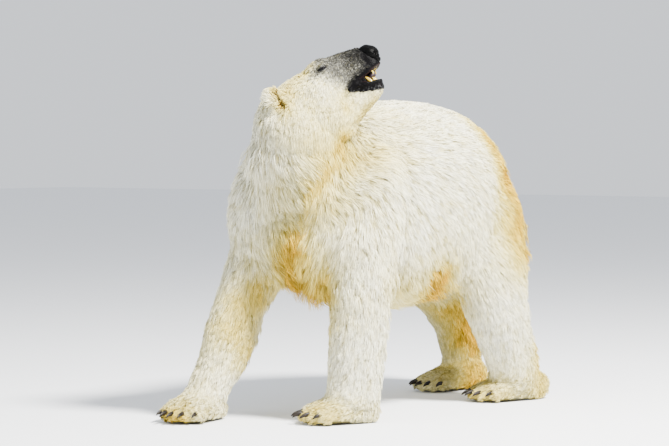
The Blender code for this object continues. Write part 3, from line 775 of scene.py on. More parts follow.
# The same on both halves of the head, in its own frame.
HEAD_STAINS = [
    ([(0.105, 0.330, 0.085), (0.112, 0.360, 0.040), (0.108, 0.365, -0.010)], 0.026, 0.30),
    ([(0.020, 0.110, -0.145), (0.030, 0.175, -0.150)], 0.032, 0.40),
    ([(0.062, 0.172, -0.050), (0.068, 0.200, -0.085)], 0.024, 0.25),
    (EAR_SLIT, 0.024, 0.55),
    ([(0.115, 0.300, 0.020), (0.125, 0.360, -0.120)], 0.050, 0.10),
    ([(0.060, 0.230, 0.120), (0.080, 0.330, 0.125)], 0.050, 0.20),
]


def marking(p, normals):
    """Linear colour at each point of the animal, with painted shade in the face's folds, the ears' openings
    and some stains, and how bare of hair it is.
    """
    q = to_head(p)
    m = both_sides(q)
    local_normal = normals @ HEAD_AXES.T
    on_head = head_share(q, 0.30, 0.42)[:, None]
    mottle = 0.5 * noise(p, 0.09, 1) + 0.3 * noise(p, 0.03, 2) + 0.2 * noise(p, 0.012, 3)
    gold = 0.050 + 0.08 * on_head[:, 0] + 0.06 * np.clip(mottle, -0.6, 1) + 0.09 * step(0.16, 0.03, p[:, 2])
    for line, reach, strength in STAIN_AND_SHADE_LINES:
        gap, _ = near_line(p, line)
        gold += strength * np.exp(-((gap / reach) ** 2)) * np.clip(0.9 + 0.7 * mottle, 0, 1.3)
    for line, reach, strength in HEAD_STAINS:
        gap, _ = near_line(m, line)
        gold += strength * np.exp(-((gap / reach) ** 2)) * np.clip(0.9 + 0.6 * mottle, 0, 1.3)
    gold = np.clip(gold, 0, 1.35)[:, None]
    colour = WHITE * np.exp(-gold * STAIN_AND_SHADE_TAKE_UP - gold**2 * DEEP)

    x, y, z = m.T
    top = np.interp(y, *UPPER_LIP)
    low = np.interp(y, *LOWER_LIP)
    ragged = 0.010 * noise(p, 0.012, 4) + 0.008 * noise(p, 0.005, 5)
    upper_part = z > np.where(y < 0.162, (top + low) / 2, -0.055)
    back = 0.163 + 0.5 * np.clip(z, -0.03, 0.075)
    streak = noise(q * (1, 0.16, 1), 0.0042, 12)
    grey = step(back + 0.036, back - 0.024, y + 0.9 * ragged + 0.020 * streak)
    grey *= 0.60 + 0.33 * step(0.145, 0.075, y + ragged) + 0.14 * streak
    above_lip = step(top + 0.042, top + 0.010, z + 0.005 * streak) * step(0.170, 0.145, y)
    grey = np.maximum(grey, (0.92 + 0.22 * streak) * above_lip)
    bridge = step(0.190, 0.150, y) * step(0.028, 0.010, x + ragged) * step(0.045, 0.065, z)
    grey = np.maximum(grey, 0.92 * bridge)
    grey *= 1 - 0.38 * hump(y, 0.080, 0.030) * hump(z, 0.010, 0.020) * (0.7 + 0.6 * noise(p, 0.004, 8))
    grey = np.where(upper_part, grey, 0)
    slit, along = near_line(m, SLIT)
    grey = np.maximum(grey, 0.90 * step(0.0120, 0.0060, slit))
    above_eye = step(0.030, 0.010, slit + ragged) * step(0.055, 0.070, z + 0.2 * (y - 0.19))
    grey = np.maximum(grey, 0.60 * above_eye)
    grey = np.maximum(grey, 0.36 * step(0.030, 0.012, slit + ragged))
    gap, along_tear = near_line(m, TEAR)
    grey = np.maximum(grey, (1.1 - 0.5 * along_tear) * step(0.010, 0.002, gap))
    # Grey along the folds of the face: painted shade in the creases.
    for line, _, width in FOLDS:
        gap, _ = near_line(m, line)
        grey = np.maximum(grey, 0.55 * step(1.5 * width, 0.4 * width, gap))
    grey = np.clip(grey * on_head[:, 0] * (1 + 0.10 * noise(p, 0.006, 9)), 0, 1.05)[:, None]
    colour = (colour * (1 - 0.92 * grey) + GREY * grey) * np.exp(-3.0 * grey - 1.2 * grey**4)

    black = step(0.078, 0.046, y + ragged + 0.25 * np.clip(z - 0.02, 0, 1))
    black = np.maximum(black, np.where(y < 0.165, step(top + 0.015, top + 0.004, z + ragged * 0.6), 0))
    corner = np.hypot(y - 0.146, z + 0.044)
    black = np.where(upper_part, np.maximum(black, step(0.018, 0.010, corner + ragged * 0.5)), 0)
    edge = np.interp(y, *BLACK_EDGE)
    lower = (~upper_part) & (y < 0.166)
    lip = np.where(lower, step(edge + 0.006, edge + 0.026, z + 1.2 * ragged), 0)
    black = np.maximum(black, np.where(lower, step(edge - 0.004, edge + 0.003, z + ragged * 0.5), 0))
    black = np.maximum(black, step(1.25, 0.85, slit / (0.0026 + 0.0028 * np.sin(np.pi * along))))
    black = (black * on_head[:, 0])[:, None]
    # Paler specks on the black of the lower lip: partly its mottled skin, partly painted glints of the wet
    # lip.
    lip_mottle_and_glints = (np.where(lower, 1 - lip, 0) * np.clip(noise(p, 0.0035, 13) + 0.1, 0, 1))[:, None]
    colour = colour * (1 - black) + (BLACK + 0.060 * lip_mottle_and_glints) * black

    inner = np.where(upper_part, local_normal[:, 2] < -0.35, local_normal[:, 2] > 0.45)
    inner &= near_mouth(q, 0.004) & (x < 0.044)
    colour[inner] = MOUTH
    gums = (x < 0.022) & (y < 0.080) & (y > 0.057) & (z > -0.080) & (z < -0.062) & (local_normal[:, 2] > 0.1)
    colour[gums] = GUM

    bare = np.maximum(np.where(black[:, 0] > 0.6, 1.0, 0), step(0.0115, 0.0085, slit))
    bare = np.maximum(bare, inner | gums)
    bare = np.maximum(bare, near_mouth(q, 0.006) * on_head[:, 0])
    sole = (normals[:, 2] < -0.6) & (p[:, 2] < 0.03)
    colour[sole] = colour[sole] * 0.25
    bare = np.maximum(bare, sole)
    ear_gap, _ = ear_places(q)
    # The ear's opening is darkened: its bare dark skin, and painted shade in the hole.
    ear_hole_skin_and_shade = step(0.0135, 0.0070, ear_gap)
    colour = colour * np.exp(-np.array((3.3, 3.9, 4.6)) * ear_hole_skin_and_shade[:, None])
    bare = np.maximum(bare, step(0.0105, 0.0080, ear_gap))
    return np.clip(colour, 0, 1), bare


# ---------------------------------------------------------------- materials
def nodes_of(name):
    mat = bpy.data.materials.new(name)
    mat.use_nodes = True
    tree = mat.node_tree
    return mat, tree, tree.nodes["Principled BSDF"]


def feed(tree, node, inputs):
    """Sets a node's inputs, each to a value or to the output of another node."""
    for name, value in inputs.items():
        if isinstance(value, bpy.types.NodeSocket):
            tree.links.new(value, node.inputs[name])
        else:
            node.inputs[name].default_value = value
    return node


def add_node(tree, kind, **inputs):
    return feed(tree, tree.nodes.new(f"ShaderNode{kind}"), inputs)


def add_bump(tree, shader, height, strength, distance):
    raised = add_node(tree, "Bump", Strength=strength, Distance=distance, Height=height)
    tree.links.new(raised.outputs["Normal"], shader.inputs["Normal"])
    return raised


def add_ramp(tree, value, *ends):
    """A ramp between two ends, each given as its place and its colour."""
    ramp = add_node(tree, "ValToRGB", Fac=value)
    for element, (place, colour) in zip(ramp.color_ramp.elements, ends):
        element.position = place
        element.color = (*colour, 1)
    return ramp.outputs["Color"]


def tinted(name, roughness, specular, grain, grain_scale, bump=0, bump_scale=0):
    """The tint that each vertex carries, with a fine grain over it and, where asked, a bump."""
    mat, tree, shader = nodes_of(name)
    tint = add_node(tree, "Attribute")
    tint.attribute_name = "tint"
    place = add_node(tree, "TexCoord").outputs["Object"]
    grains = add_node(tree, "TexNoise", Scale=grain_scale, Detail=4, Vector=place)
    ramp = add_node(tree, "MapRange", Value=grains.outputs["Fac"])
    feed(tree, ramp, {"From Min": 0.3, "From Max": 0.7, "To Min": 1 - grain, "To Max": 1 + grain * 0.6})
    scaled = add_node(tree, "VectorMath")
    scaled.operation = "SCALE"
    feed(tree, scaled, {0: tint.outputs["Color"], "Scale": ramp.outputs["Result"]})
    feed(tree, shader, {"Base Color": scaled.outputs["Vector"], "Roughness": roughness,
                        "Specular IOR Level": specular})
    if bump:
        fine = add_node(tree, "TexNoise", Scale=bump_scale, Detail=6, Vector=place)
        add_bump(tree, shader, fine.outputs["Fac"], bump, 0.002)
    return mat


def tint_mesh(me, colours):
    rgba = np.ones((len(me.vertices), 4), np.float32)
    rgba[:, :3] = colours
    layer = me.color_attributes.new("tint", "FLOAT_COLOR", "POINT")
    layer.data.foreach_set("color", rgba.ravel())


def pebbled(name, colour, light, roughness, specular, scale, strength):
    """Dark moist skin with small cells raised on it."""
    mat, tree, shader = nodes_of(name)
    place = add_node(tree, "TexCoord").outputs["Object"]
    cells = add_node(tree, "TexVoronoi", Scale=scale, Vector=place).outputs["Distance"]
    add_bump(tree, shader, cells, strength, 0.0008).invert = True
    feed(tree, shader, {"Base Color": add_ramp(tree, cells, (0.1, light), (0.7, colour)),
                        "Roughness": roughness, "Specular IOR Level": specular})
    return mat


def streaked(name, root, tip, roughness, scale, stretch, coat, specular):
    """Horn or enamel: its colour in streaks along one way."""
    mat, tree, shader = nodes_of(name)
    place = add_node(tree, "TexCoord").outputs["Object"]
    warp = add_node(tree, "Mapping", Scale=stretch, Vector=place)
    waves = add_node(tree, "TexNoise", Scale=scale, Detail=5, Vector=warp.outputs["Vector"]).outputs["Fac"]
    add_bump(tree, shader, waves, 0.25, 0.0006)
    feed(tree, shader, {"Base Color": add_ramp(tree, waves, (0.35, root), (0.68, tip)),
                        "Roughness": roughness, "Coat Weight": coat, "Specular IOR Level": specular})
    return mat


# ---------------------------------------------------------------- the coat
LENGTH, WIDTH, LIFT, STRAY, GATHER, DENSITY = np.array([KINDS[k][1:] for k in KIND_NAMES]).T
SHARE = 0.94  # of the densities above
GROUPS = {"head": ["head", "lower_jaw"], "ear_left": ["ear_left"], "ear_right": ["ear_right"],
          "neck": ["neck"], "trunk": ["trunk", "tail"]}
for each_leg in LEGS:
    GROUPS[each_leg.replace("_", "leg_")] = leg_nodes(each_leg)
MOST_TUFTS = 21500  # in one piece, of nine triangles each
BLADES = 3
PATCH = 0.003  # the size of a tuft's patch on the coat's map
LOCK_SIZE = 7  # tufts
LOCK_HALF = 0.0068  # about half a lock's width, beyond which a lock's border gets painted shade

# The ruff starts below the right ear and runs down and to the bear's right, in even steps.
RIGHT_EAR = middle("ear_right")
RUFF_DROP, RUFF_STEP = 0.080, 0.045
RUFF = [on_front(RIGHT_EAR[0] - way, RIGHT_EAR[2] - RUFF_DROP - way) for way in RUFF_STEP * np.arange(3)]


def local_looks(p, normals, kind):
    """The tufts' length, width, lift above the skin, gathering and unevenness at each place."""
    q = to_head(p)
    length, width, lift = kind @ LENGTH, kind @ WIDTH, kind @ LIFT * coat_depth(kind, q)
    gather = kind @ GATHER
    headlike = of_kind(kind, "head")
    y, z = q[:, 1], q[:, 2]
    face = 0.30 + 0.34 * step(0.10, 0.22, y) + 0.36 * step(0.22, 0.40, y)
    face += 0.55 * step(0.26, 0.38, y) * step(0.0, -0.10, z)
    face += 0.25 * step(0.14, 0.22, y) * step(-0.06, -0.12, z)
    length = length * (1 - headlike) + length * face * headlike
    width = width * (1 - 0.35 * headlike * step(0.25, 0.10, y))
    length = length * (1 - 0.45 * headlike * step(0.035, 0.012, near_line(both_sides(q), SLIT)[0]))
    # Longer below the belly, behind the legs, on the hams and in the ruff, and shorter on the brisket.
    height = p[:, 2]
    ny, nz = normals[:, 1], normals[:, 2]
    trunk, thigh = of_kind(kind, "trunk"), of_kind(kind, "leg")
    under = trunk * step(-0.25, -0.8, nz)
    behind = (thigh + of_kind(kind, "shank")) * step(0.2, 0.75, ny) * step(0.10, 0.2, height)
    brisket = hump(np.linalg.norm(p - BRISKET, axis=1), 0, 0.12)
    ruff = hump(near_line(p, RUFF)[0], 0, 0.075) * (1 - headlike * 0.4)
    hams = (trunk + thigh) * step(0.30, 0.75, ny) * step(0.45, 0.60, height)
    by_ear = step(0.085, 0.055, np.linalg.norm(both_sides(q) - EAR, axis=1)) * (1 - of_kind(kind, "ear"))
    length *= 1 + 0.55 * under + 0.30 * behind - 0.38 * brisket + 0.45 * ruff + 0.15 * hams
    length *= (1 - 0.45 * by_ear) * (1 - 0.45 * step(0.020, 0.009, ear_places(q)[0]))
    lift *= (1 + 0.80 * under + 0.35 * behind + 0.3 * brisket + 1.1 * ruff + 0.45 * hams) * (1 - 0.4 * by_ear)
    gather += 0.15 * under + 0.2 * behind + 0.25 * brisket + 0.25 * ruff + 0.15 * hams
    gather = np.clip(gather, 0, 0.90)
    shag = 0.12 + 0.28 * under + 0.20 * behind + 0.25 * brisket + 0.40 * ruff + 0.22 * hams
    return length, width, lift, gather, shag


def scatter(rng, areas, density, count):
    """Triangles for count tufts, spread evenly by area and density."""
    total = np.cumsum(areas * density)
    spots = (np.arange(count) + rng.random(count)) / count * total[-1]
    return np.minimum(np.searchsorted(total, spots), len(areas) - 1)


def barycentric(rng, count):
    a, b = rng.random(count), rng.random(count)
    flip = a + b > 1
    a, b = np.where(flip, 1 - a, a), np.where(flip, 1 - b, b)
    return np.column_stack([1 - a - b, a, b])


def on_skin(tri, share, *fields):
    return [(f[tri] * share[:, :, None]).sum(1) if f.ndim > 1 else (f[tri] * share).sum(1) for f in fields]


def unwrap(points, axis_way):
    """A cylinder's unwrap of a part of the skin about its own long axis."""
    centre = points.mean(0)
    off = points - centre
    along = off @ axis_way
    first = unit(np.cross(axis_way, (0.31, 0.17, 0.93)))
    second = np.cross(axis_way, first)
    angle = np.arctan2(off @ second, off @ first)
    u = (angle + np.pi) / (2 * np.pi)
    v = (along - along.min()) / np.ptp(along)
    return np.column_stack([u, v]) * (1 - 2 * PATCH) + PATCH


def build_coat(skin, guide):
    me = skin.data
    me.calc_loop_triangles()
    verts = read(me.vertices, "co", 3)
    normals = read(me.vertices, "normal", 3)
    tris = read(me.loop_triangles, "vertices", 3, np.int32)
    kind, lie, owner = from_guide(guide, verts, guide[1], guide[2])
    colour, bare = marking(verts, normals)
    # Where hair grows, the skin is made darker and warmer: painted shade deep in the coat.
    tint_mesh(me, colour * np.array((0.90, 0.88, 0.82)) ** (bare < 0.5)[:, None])
    length, width, lift, gather, shag = local_looks(verts, normals, kind)
    stray = kind @ STRAY
    density = kind @ DENSITY
    density *= 1 + 0.5 * face_zone(to_head(verts), 0.24)
    corner = verts[tris]
    areas = np.linalg.norm(np.cross(corner[:, 1] - corner[:, 0], corner[:, 2] - corner[:, 0]), axis=1) / 2
    worth = density[tris].mean(1) * (1 - bare[tris].mean(1))
    count = int((areas * worth).sum() * SHARE * (1))
    face = scatter(RNG, areas, worth, count)
    share = barycentric(RNG, count)
    tri = tris[face]
    legs = of_kind(kind, "leg") + of_kind(kind, "shank")
    root, n, d, size, wide, high, pull, wild, uneven, on_leg = on_skin(
        tri, share, verts, normals, lie, length, width, lift, gather, stray, shag, legs)
    n = unit(n)
    d = unit(d - n * (d * n).sum(1)[:, None])
    on_face = head_share(to_head(root), 0.36, 0.50)[:, None]
    tint, _ = marking(root + RNG.normal(0, 1, (count, 3)) * (0.009 - 0.0065 * on_face), n)

    # Locks: tufts near each other lean to one tip.
    locks = max(count // LOCK_SIZE, 10)
    pick = RNG.choice(count, locks, replace=False)
    tree = point_tree(root[pick])
    found = [tree.find(p) for p in root.tolist()]
    lock = np.array([f[1] for f in found])
    leader = pick[lock]
    turn = RNG.normal(0, 1, count)
    lock_turn = RNG.normal(0, 1, locks)[lock]
    angle = wild * (0.75 * turn + 0.55 * lock_turn)
    side = np.cross(n, d)
    way = d * np.cos(angle)[:, None] + side * np.sin(angle)[:, None]
    lock_lift = np.clip(RNG.normal(0, 1, locks), -1.5, 1.5)[lock]
    size = size * RNG.uniform(0.72, 1.2, count) * np.exp(0.5 * uneven * lock_lift)
    high = high * RNG.uniform(0.55, 1.12, count) * np.exp(uneven * lock_lift)
    tip = root + way * size[:, None] + n * high[:, None]
    reach_of_leader = way[leader] * size[leader][:, None] * 1.05
    leader_tip = root[leader] + reach_of_leader + n[leader] * high[leader][:, None] * 1.15
    from_leader = root - root[leader]
    alike = step(0.3, 0.7, (n * n[leader]).sum(1)) * step(0.05, 0.03, np.linalg.norm(from_leader, axis=1))
    pull = pull * alike * RNG.uniform(0.5, 1.1, count)
    beside = np.abs((from_leader * side).sum(1)) / LOCK_HALF
    border = step(0.30, 1.2, beside) * alike * (0.3 + 0.7 * step(0.0, 0.3, pull)) * (1 - 0.45 * on_leg)
    high = high * (1.12 - 0.38 * border)
    tip += (leader_tip - tip) * pull[:, None]
    lay = tip - root
    flat = lay - n * (lay * n).sum(1)[:, None]
    middle_point = root + flat * 0.50 + n * (0.80 * high)[:, None]

    # Three blades to a tuft, side by side, turned differently about their length.
    shift = (np.arange(BLADES) - (BLADES - 1) / 2)[None, :] * wide[:, None] * 0.9
    shift = shift + RNG.normal(0, 0.35, shift.shape) * wide[:, None]
    roll = RNG.normal(0, 0.55, shift.shape)
    fan = RNG.normal(0, 0.10, shift.shape) + (np.arange(BLADES) - 1)[None, :] * 0.05
    across = (np.cross(n, unit(flat)))[:, None, :]
    flatways = across * np.cos(roll)[..., None] + n[:, None, :] * np.sin(roll)[..., None]
    half = wide[:, None, None] * 0.5
    start = root[:, None, :] - n[:, None, :] * 0.0015 + across * shift[..., None]
    reach = np.linalg.norm(flat, axis=1)[:, None, None]
    bend = across * fan[..., None] * reach
    knee = middle_point[:, None, :] + across * shift[..., None] * 0.85 + bend * 0.45
    knee = knee + n[:, None, :] * (RNG.normal(0, 0.0012, shift.shape))[..., None]
    end = tip[:, None, :] + across * shift[..., None] * 0.5 + bend
    end = end + unit(flat)[:, None, :] * (RNG.normal(0, 0.07, shift.shape) * size[:, None])[..., None]
    blade = np.stack([start - flatways * half, start + flatways * half,
                      knee - flatways * half * 0.8, knee + flatways * half * 0.8, end], axis=2)
    blade[..., 2] = np.maximum(blade[..., 2], LOWEST_TUFT)
    # A lock's border tufts get painted shade: darker and more golden, as in the shadow between locks.
    edge = border[:, None]
    lightness = np.clip(1.02 + 0.07 * turn[:, None] + 0.085 * lock_turn[:, None], 0.70, 1.16)
    lightness = lightness * (1 - 0.18 * edge) * np.exp(-0.17 * edge * STAIN_AND_SHADE_TAKE_UP)
    speckle = RNG.random(count)[:, None]
    dark = step(0.45, 0.15, tint.mean(1))[:, None]
    frost = np.where(speckle > 0.80, 2.2, np.where(speckle < 0.3, 0.6, 1.0))
    tint = np.clip(tint * lightness * (1 + dark * (frost - 1)), 0, 0.95)
    # Each blade's five points, from the two at its root to its tip: how light and how golden. The darker,
    # more golden roots are painted shade deep in the coat.
    rise = np.array((0.52, 0.52, 0.92, 0.92, 1.07))
    root_shade_gold = np.array((0.22, 0.22, 0.03, 0.03, 0.0))
    shade = rise[:, None] * np.exp(-root_shade_gold[:, None] * STAIN_AND_SHADE_TAKE_UP)
    vertex_tint = np.clip(tint[:, None, None, :] * shade[None, None, :, :], 0, 1)
    vertex_tint = np.broadcast_to(vertex_tint, (count, BLADES, 5, 3))

    material = tinted("coat_fur", 0.72, 0.06, 0.07, 140)
    pieces = 0
    root_owner = owner[tri[:, 0]]
    for group, nodes in GROUPS.items():
        rows = np.flatnonzero(np.isin(root_owner, [FLESH.index(node) for node in nodes]))
        if not len(rows):
            continue
        spanned = np.linalg.svd(root[rows[::7]] - root[rows[::7]].mean(0), full_matrices=False)[2][0]
        order = rows[np.argsort(root[rows] @ spanned, kind="stable")]
        parts = max(1, math.ceil(len(rows) / MOST_TUFTS))
        for number, part in enumerate(np.array_split(order, parts)):
            name = f"coat_{group}" + (f"_{number + 1}" if parts > 1 else "")
            coat_piece(name, blade[part], vertex_tint[part], unwrap(root[part], spanned), material)
            pieces += 1
    print("tufts", count, "pieces", pieces)


def coat_piece(name, blade, tint, places, material):
    """A joined mesh of tufts with the map in which each tuft is a patch at its root's place."""
    tufts = len(blade)
    blades = tufts * BLADES
    verts = blade.reshape(-1, 3)
    base = np.arange(blades)[:, None] * 5
    loops = (base + np.array((0, 1, 3, 2, 2, 3, 4))).ravel()
    starts = (np.arange(blades)[:, None] * 7 + np.array((0, 4))).ravel()
    me = mesh_from(name, verts, loops, starts)
    tint_mesh(me, tint.reshape(-1, 3))
    u = np.array((0.1, 0.9, 0.9, 0.1, 0.1, 0.9, 0.5))
    v = np.array((0, 0, 0.5, 0.5, 0.5, 0.5, 1.0))
    column = np.arange(BLADES)[:, None]
    patch = np.stack([(column + u) / BLADES, np.broadcast_to(v, (BLADES, 7))], axis=2) - 0.5
    uv = places[:, None, None, :] + patch[None] * PATCH
    layer = me.uv_layers.new(name="OFBake")
    layer.data.foreach_set("uv", uv.astype(np.float32).ravel())
    me.materials.append(material)
    registered(add_object(name, me))


# ---------------------------------------------------------------- face pieces
def ring_solid(centres, radii, ups, sides=12, squash=1.0):
    """A closed solid of rings along centres, capped at its start and with a point at its end."""
    bm = bmesh.new()
    rings = []
    for i, (c, r, up) in enumerate(zip(centres, radii, ups)):
        before, after = centres[max(i - 1, 0)], centres[min(i + 1, len(centres) - 1)]
        path = unit((after - before)[None])[0]
        up = unit((up - path * (up @ path))[None])[0]
        across = np.cross(path, up)
        if r < 1e-5:
            rings.append([bm.verts.new(c)])
            continue
        turns = [2 * math.pi * k / sides for k in range(sides)]
        ring = [c + across * math.cos(t) * r * squash + up * math.sin(t) * r for t in turns]
        rings.append([bm.verts.new(corner) for corner in ring])
    for one, two in zip(rings[:-1], rings[1:]):
        for k in range(sides):
            j = (k + 1) % sides
            if len(two) == 1:
                bm.faces.new((one[k], one[j], two[0]))
            else:
                bm.faces.new((one[k], one[j], two[j], two[k]))
    bm.faces.new(rings[0])
    bmesh.ops.recalc_face_normals(bm, faces=bm.faces)
    for f in bm.faces:
        f.smooth = True
    return bm


def piece_of(name, shapes, material, nodes=()):
    me = with_shapes(bpy.data.meshes.new(name), shapes)
    me.materials.append(material)
    registered(add_object(name, me), nodes)


def registered(obj, nodes=()):
    """Tells the frame the body the piece rides on and the CAD's nodes that it replaces."""
    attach(obj, "root")
    if nodes:
        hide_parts(*nodes)


def build_eye(word, sign):
    """A dark moist ball with a brown iris and a clear bulge in front of it."""
    gaze = unit(np.array((sign * 0.86, -0.48, 0.10)))
    bm = bmesh.new()
    bmesh.ops.create_uvsphere(bm, u_segments=40, v_segments=28, radius=1)
    me = bpy.data.meshes.new(f"eyeball_{word}")
    bm.to_mesh(me)
    bm.free()
    way = read(me.vertices, "co", 3)
    angle = np.degrees(np.arccos(np.clip(way @ gaze, -1, 1)))
    radius = EYE_RADIUS * (1 + 0.05 * hump(angle, 0, 26))
    local = way * radius[:, None] + EYE * (sign, 1, 1)
    move_to(me, from_head(local))
    iris = np.array((0.075, 0.036, 0.016)) * (0.8 + 0.3 * noise(way, 0.08, 6))[:, None]
    white = np.array((0.11, 0.09, 0.08))
    colour = np.where((angle < 34)[:, None], iris, white)
    colour = np.where((angle < 15)[:, None], 0.004, colour)
    tint_mesh(me, colour)
    shade_smooth(me)
    mat = tinted(f"eye_{word}_moist", 0.08, 0.6, 0.15, 900)
    mat.node_tree.nodes["Principled BSDF"].inputs["Coat Weight"].default_value = 0.8
    me.materials.append(mat)
    registered(add_object(f"eyeball_{word}", me), [f"eye_{word}"])


def build_lids(skin):
    """The dark moist rims of the lids, laid on the skin along the two edges of each slit."""
    tree = BVHTree.FromObject(skin, bpy.context.evaluated_depsgraph_get())
    rims = []
    for sign in (1, -1):
        for way in (1, -1):
            line = curve(np.array(SLIT), 4)
            t = np.linspace(0, 1, len(line))
            line[:, 2] += way * 0.0026 * np.sin(np.pi * t) ** 0.7
            path = []
            for _, y, z in line:
                start = from_head(np.array(((sign * 0.2, y, z),)))[0]
                hit, normal, _, _ = tree.ray_cast(Vector(start), Vector(HEAD_AXES[0] * -sign))
                path.append(np.array(hit) + np.array(normal) * 0.0007)
            radii = 0.0004 + 0.0011 * np.sin(np.pi * t) ** 0.6
            radii[-1] = 0
            rims.append(ring_solid(np.array(path), radii, np.tile(HEAD_LEFT, (len(line), 1)), 10))
    dark, light = (0.0012, 0.0010, 0.0010), (0.0035, 0.0030, 0.0030)
    leather = pebbled("lid_leather", dark, light, 0.25, 0.25, 1400, 0.3)
    piece_of("eyelid_rims", rims, leather)


NOSTRIL = [(0.025, 0.001, 0.012), (0.032, 0.008, 0.005), (0.037, 0.018, 0.004), (0.0395, 0.028, 0.011)]


def build_nose():
    """The nose pad with its two comma-shaped nostrils and the groove between them."""
    obj = remeshed("nose_pad", joined(["nose"], PIECE_SWELL), NOSE_VOXEL)
    smoothed(obj, np.ones(len(obj.data.vertices)), 14)
    me = obj.data
    q = to_head(read(me.vertices, "co", 3))
    local_normal = read(me.vertices, "normal", 3) @ HEAD_AXES.T
    m = both_sides(q)
    x, y, z = m.T
    front = step(0.5, 0.0, local_normal[:, 1])
    hole = np.sqrt(((x - 0.0225) / 0.0088) ** 2 + ((z - 0.0150) / 0.0078) ** 2)
    back = 0.011 * step(1.05, 0.55, hole) * front
    wing, along = near_line(m, NOSTRIL)
    slot = 0.0042 * hump(wing, 0, 0.0022) * step(1.0, 0.75, along)
    groove = 0.0022 * hump(x, 0, 0.0016) * step(0.034, 0.020, z) * front
    rim = 0.0012 * hump(hole, 1.30, 0.22) * front * step(0.010, 0.014, z)
    pinch = 0.0040 * hump(z, -0.003, 0.0045) * step(0.012, 0.002, y)
    q[:, 1] += back + pinch
    q -= local_normal * (slot + groove - rim)[:, None]
    move_to(me, from_head(q))
    smoothed(obj, np.full(len(me.vertices), 0.5), 1)
    shade_smooth(obj.data)
    dark, light = (0.0008, 0.0008, 0.0008), (0.0022, 0.0022, 0.0022)
    obj.data.materials.append(pebbled("nose_leather", dark, light, 0.32, 0.030, 620, 0.5))
    registered(obj, ["nose"])


TOOTH_RINGS = 9
CLAW_SIDES = 5  # points in each of the three rings of the CAD's claws


def build_teeth():
    """Curved cones, a little flat, for each jaw."""
    root, tip = (0.34, 0.21, 0.012), (0.60, 0.47, 0.10)
    enamel = streaked("tooth_enamel", root, tip, 0.28, 90, (1, 1, 0.4), 0.3, 0.5)
    for name, rows in TEETH.items():
        shapes = []
        for sign in (1, -1):
            for x, (y0, z0), (y1, z1), radius in rows:
                t = np.linspace(0, 1, TOOTH_RINGS)
                bow = 0.10 * abs(z1 - z0) * np.sin(math.pi * t)
                x_row = sign * x * (1 + 0.05 * t)
                local = np.column_stack([x_row, y0 + (y1 - y0) * t - bow, z0 + (z1 - z0) * t])
                radii = radius * HEAD_SCALE * np.sqrt(np.clip(1 - t**2.4, 0, 1)) * (1 - 0.18 * t)
                radii[-1] = 0
                ups = np.tile(-HEAD_AXES[1], (TOOTH_RINGS, 1))
                shapes.append(ring_solid(from_head(local), radii, ups, squash=0.85))
        piece_of(name, shapes, enamel)


def build_tongue():
    """The tongue, lying on the jaw's floor, with its groove."""
    obj = remeshed("tongue_body", joined(["tongue"], PIECE_SWELL), TONGUE_VOXEL)
    smoothed(obj, np.ones(len(obj.data.vertices)), 10)
    me = obj.data
    q = to_head(read(me.vertices, "co", 3))
    top = step(-0.060, -0.050, q[:, 2])
    up = step(-0.078, -0.045, q[:, 2])
    q[:, 2] += 0.011 * up * step(0.19, 0.13, q[:, 1])
    q[:, 1] -= 0.042 * step(0.160, 0.095, q[:, 1])
    q[:, 2] += 0.018 * (1 - up) * step(0.105, 0.065, q[:, 1])
    q[:, 2] -= 0.003 * hump(q[:, 0], 0, 0.003) * top
    q[:, 2] += 0.0006 * np.sin(q[:, 1] * 900) * top
    move_to(me, from_head(q))
    shade_smooth(me)
    dark, light = (0.018, 0.010, 0.012), (0.035, 0.020, 0.022)
    me.materials.append(pebbled("tongue_wet", dark, light, 0.32, 0.25, 700, 0.6))
    registered(obj, ["tongue"])


def build_claws():
    """Curved claws, round above and narrow, through the same rings as the CAD's."""
    horn = streaked("claw_horn", (0.004, 0.0035, 0.003), (0.024, 0.019, 0.015), 0.38, 70, (1, 1, 1), 0, 0.16)
    for name in LEGS:
        nodes = [f"claw_{name}_{number}" for number in range(1, 6)]
        home = middle(leg_nodes(name)[-1])
        shapes = []
        for node in nodes:
            co = np.unique(np.round(read(bpy.data.objects[node].data.vertices, "co", 3), 6), axis=0)
            tip = co[np.argmax(np.linalg.norm((co - home)[:, :2], axis=1))]
            order = np.argsort(-np.linalg.norm(co - tip, axis=1))
            rings = [co[order[k:k + CLAW_SIDES]].mean(0) for k in CLAW_SIDES * np.arange(3)]
            path = curve(np.array(rings + [tip]), 5)
            root_radius = np.linalg.norm(co[order[:CLAW_SIDES]] - rings[0], axis=1).mean()
            radii = root_radius * 1.08 * np.linspace(1, 0, len(path)) ** 0.58
            radii[-1] = 0
            shapes.append(ring_solid(path, radii, np.tile((0.0, 0.0, 1.0), (len(path), 1)), squash=0.74))
        piece_of(f"claws_{name}", shapes, horn, nodes)


# ---------------------------------------------------------------- stage
CAMERA_TURN, CAMERA_RISE, CAMERA_DISTANCE = 37, 2, 9.0  # degrees and metres
CAMERA_TARGET = Vector((-0.1601, -0.0740, 0.6955))
CAMERA_SENSOR, CAMERA_LENS = 36, 128.3
LIGHT_TARGET = Vector((0, 0, 0.7))
FLOOR_SIZE, FLOOR_DROP = 30, 0.0005  # the floor lies a hair below the soles


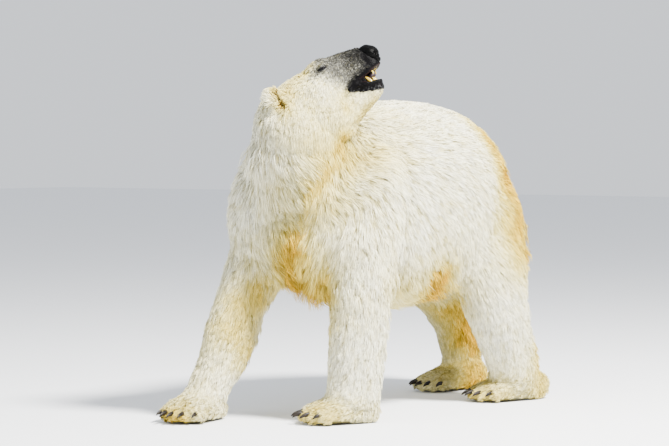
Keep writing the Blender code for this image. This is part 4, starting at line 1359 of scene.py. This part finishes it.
def build_stage():
    bm = bmesh.new()
    bmesh.ops.create_grid(bm, x_segments=2, y_segments=2, size=FLOOR_SIZE)
    me = bpy.data.meshes.new("floor")
    bm.to_mesh(me)
    bm.free()
    mat, _, shader = nodes_of("pale_floor")
    shader.inputs["Base Color"].default_value = (0.86, 0.87, 0.89, 1)
    shader.inputs["Roughness"].default_value = 0.9
    me.materials.append(mat)
    floor = add_object("floor", me)
    floor.location.z = -FLOOR_DROP
    world = bpy.data.worlds.new("studio")
    bpy.context.scene.world = world
    world.use_nodes = True
    sky = world.node_tree.nodes["Background"]
    sky.inputs["Color"].default_value = (0.90, 0.94, 1.0, 1)
    sky.inputs["Strength"].default_value = 1.15


def aim(obj, turn, rise, distance, target):
    """Puts a lamp or a camera at a turn, rise and distance from the target, looking at it."""
    back = Vector(way_of(math.radians(turn), math.radians(rise)))
    obj.location = target + back * distance
    obj.rotation_mode = "QUATERNION"
    obj.rotation_quaternion = (-back).to_track_quat("-Z", "Y")


def area_light(name, turn, rise, distance, size, energy, colour):
    data = bpy.data.lights.new(name, "AREA")
    data.shape = "DISK"
    data.size = size
    data.energy = energy
    data.color = colour
    aim(add_object(name, data), turn, rise, distance, LIGHT_TARGET)


def build_camera():
    data = bpy.data.cameras.new("camera")
    data.sensor_width = CAMERA_SENSOR
    data.lens = CAMERA_LENS
    camera = add_object("camera", data)
    aim(camera, CAMERA_TURN, CAMERA_RISE, CAMERA_DISTANCE, CAMERA_TARGET)
    bpy.context.scene.camera = camera


guide = build_guide()
skin = build_skin(guide)
print("skin faces", len(skin.data.polygons))
build_coat(skin, guide)
skin.data.materials.append(tinted("skin_and_down", 0.42, 0.035, 0.14, 260, bump=0.7, bump_scale=420))
registered(skin, FLESH)
for eye_word, eye_sign in (("left", 1), ("right", -1)):
    build_eye(eye_word, eye_sign)
build_lids(skin)
build_nose()
build_teeth()
build_tongue()
build_claws()
build_stage()
area_light("key", 80, 50, 6, 1.3, 2400, (1.0, 0.98, 0.94))
area_light("fill", -20, 25, 7, 4.0, 160, (0.90, 0.95, 1.0))
build_camera()
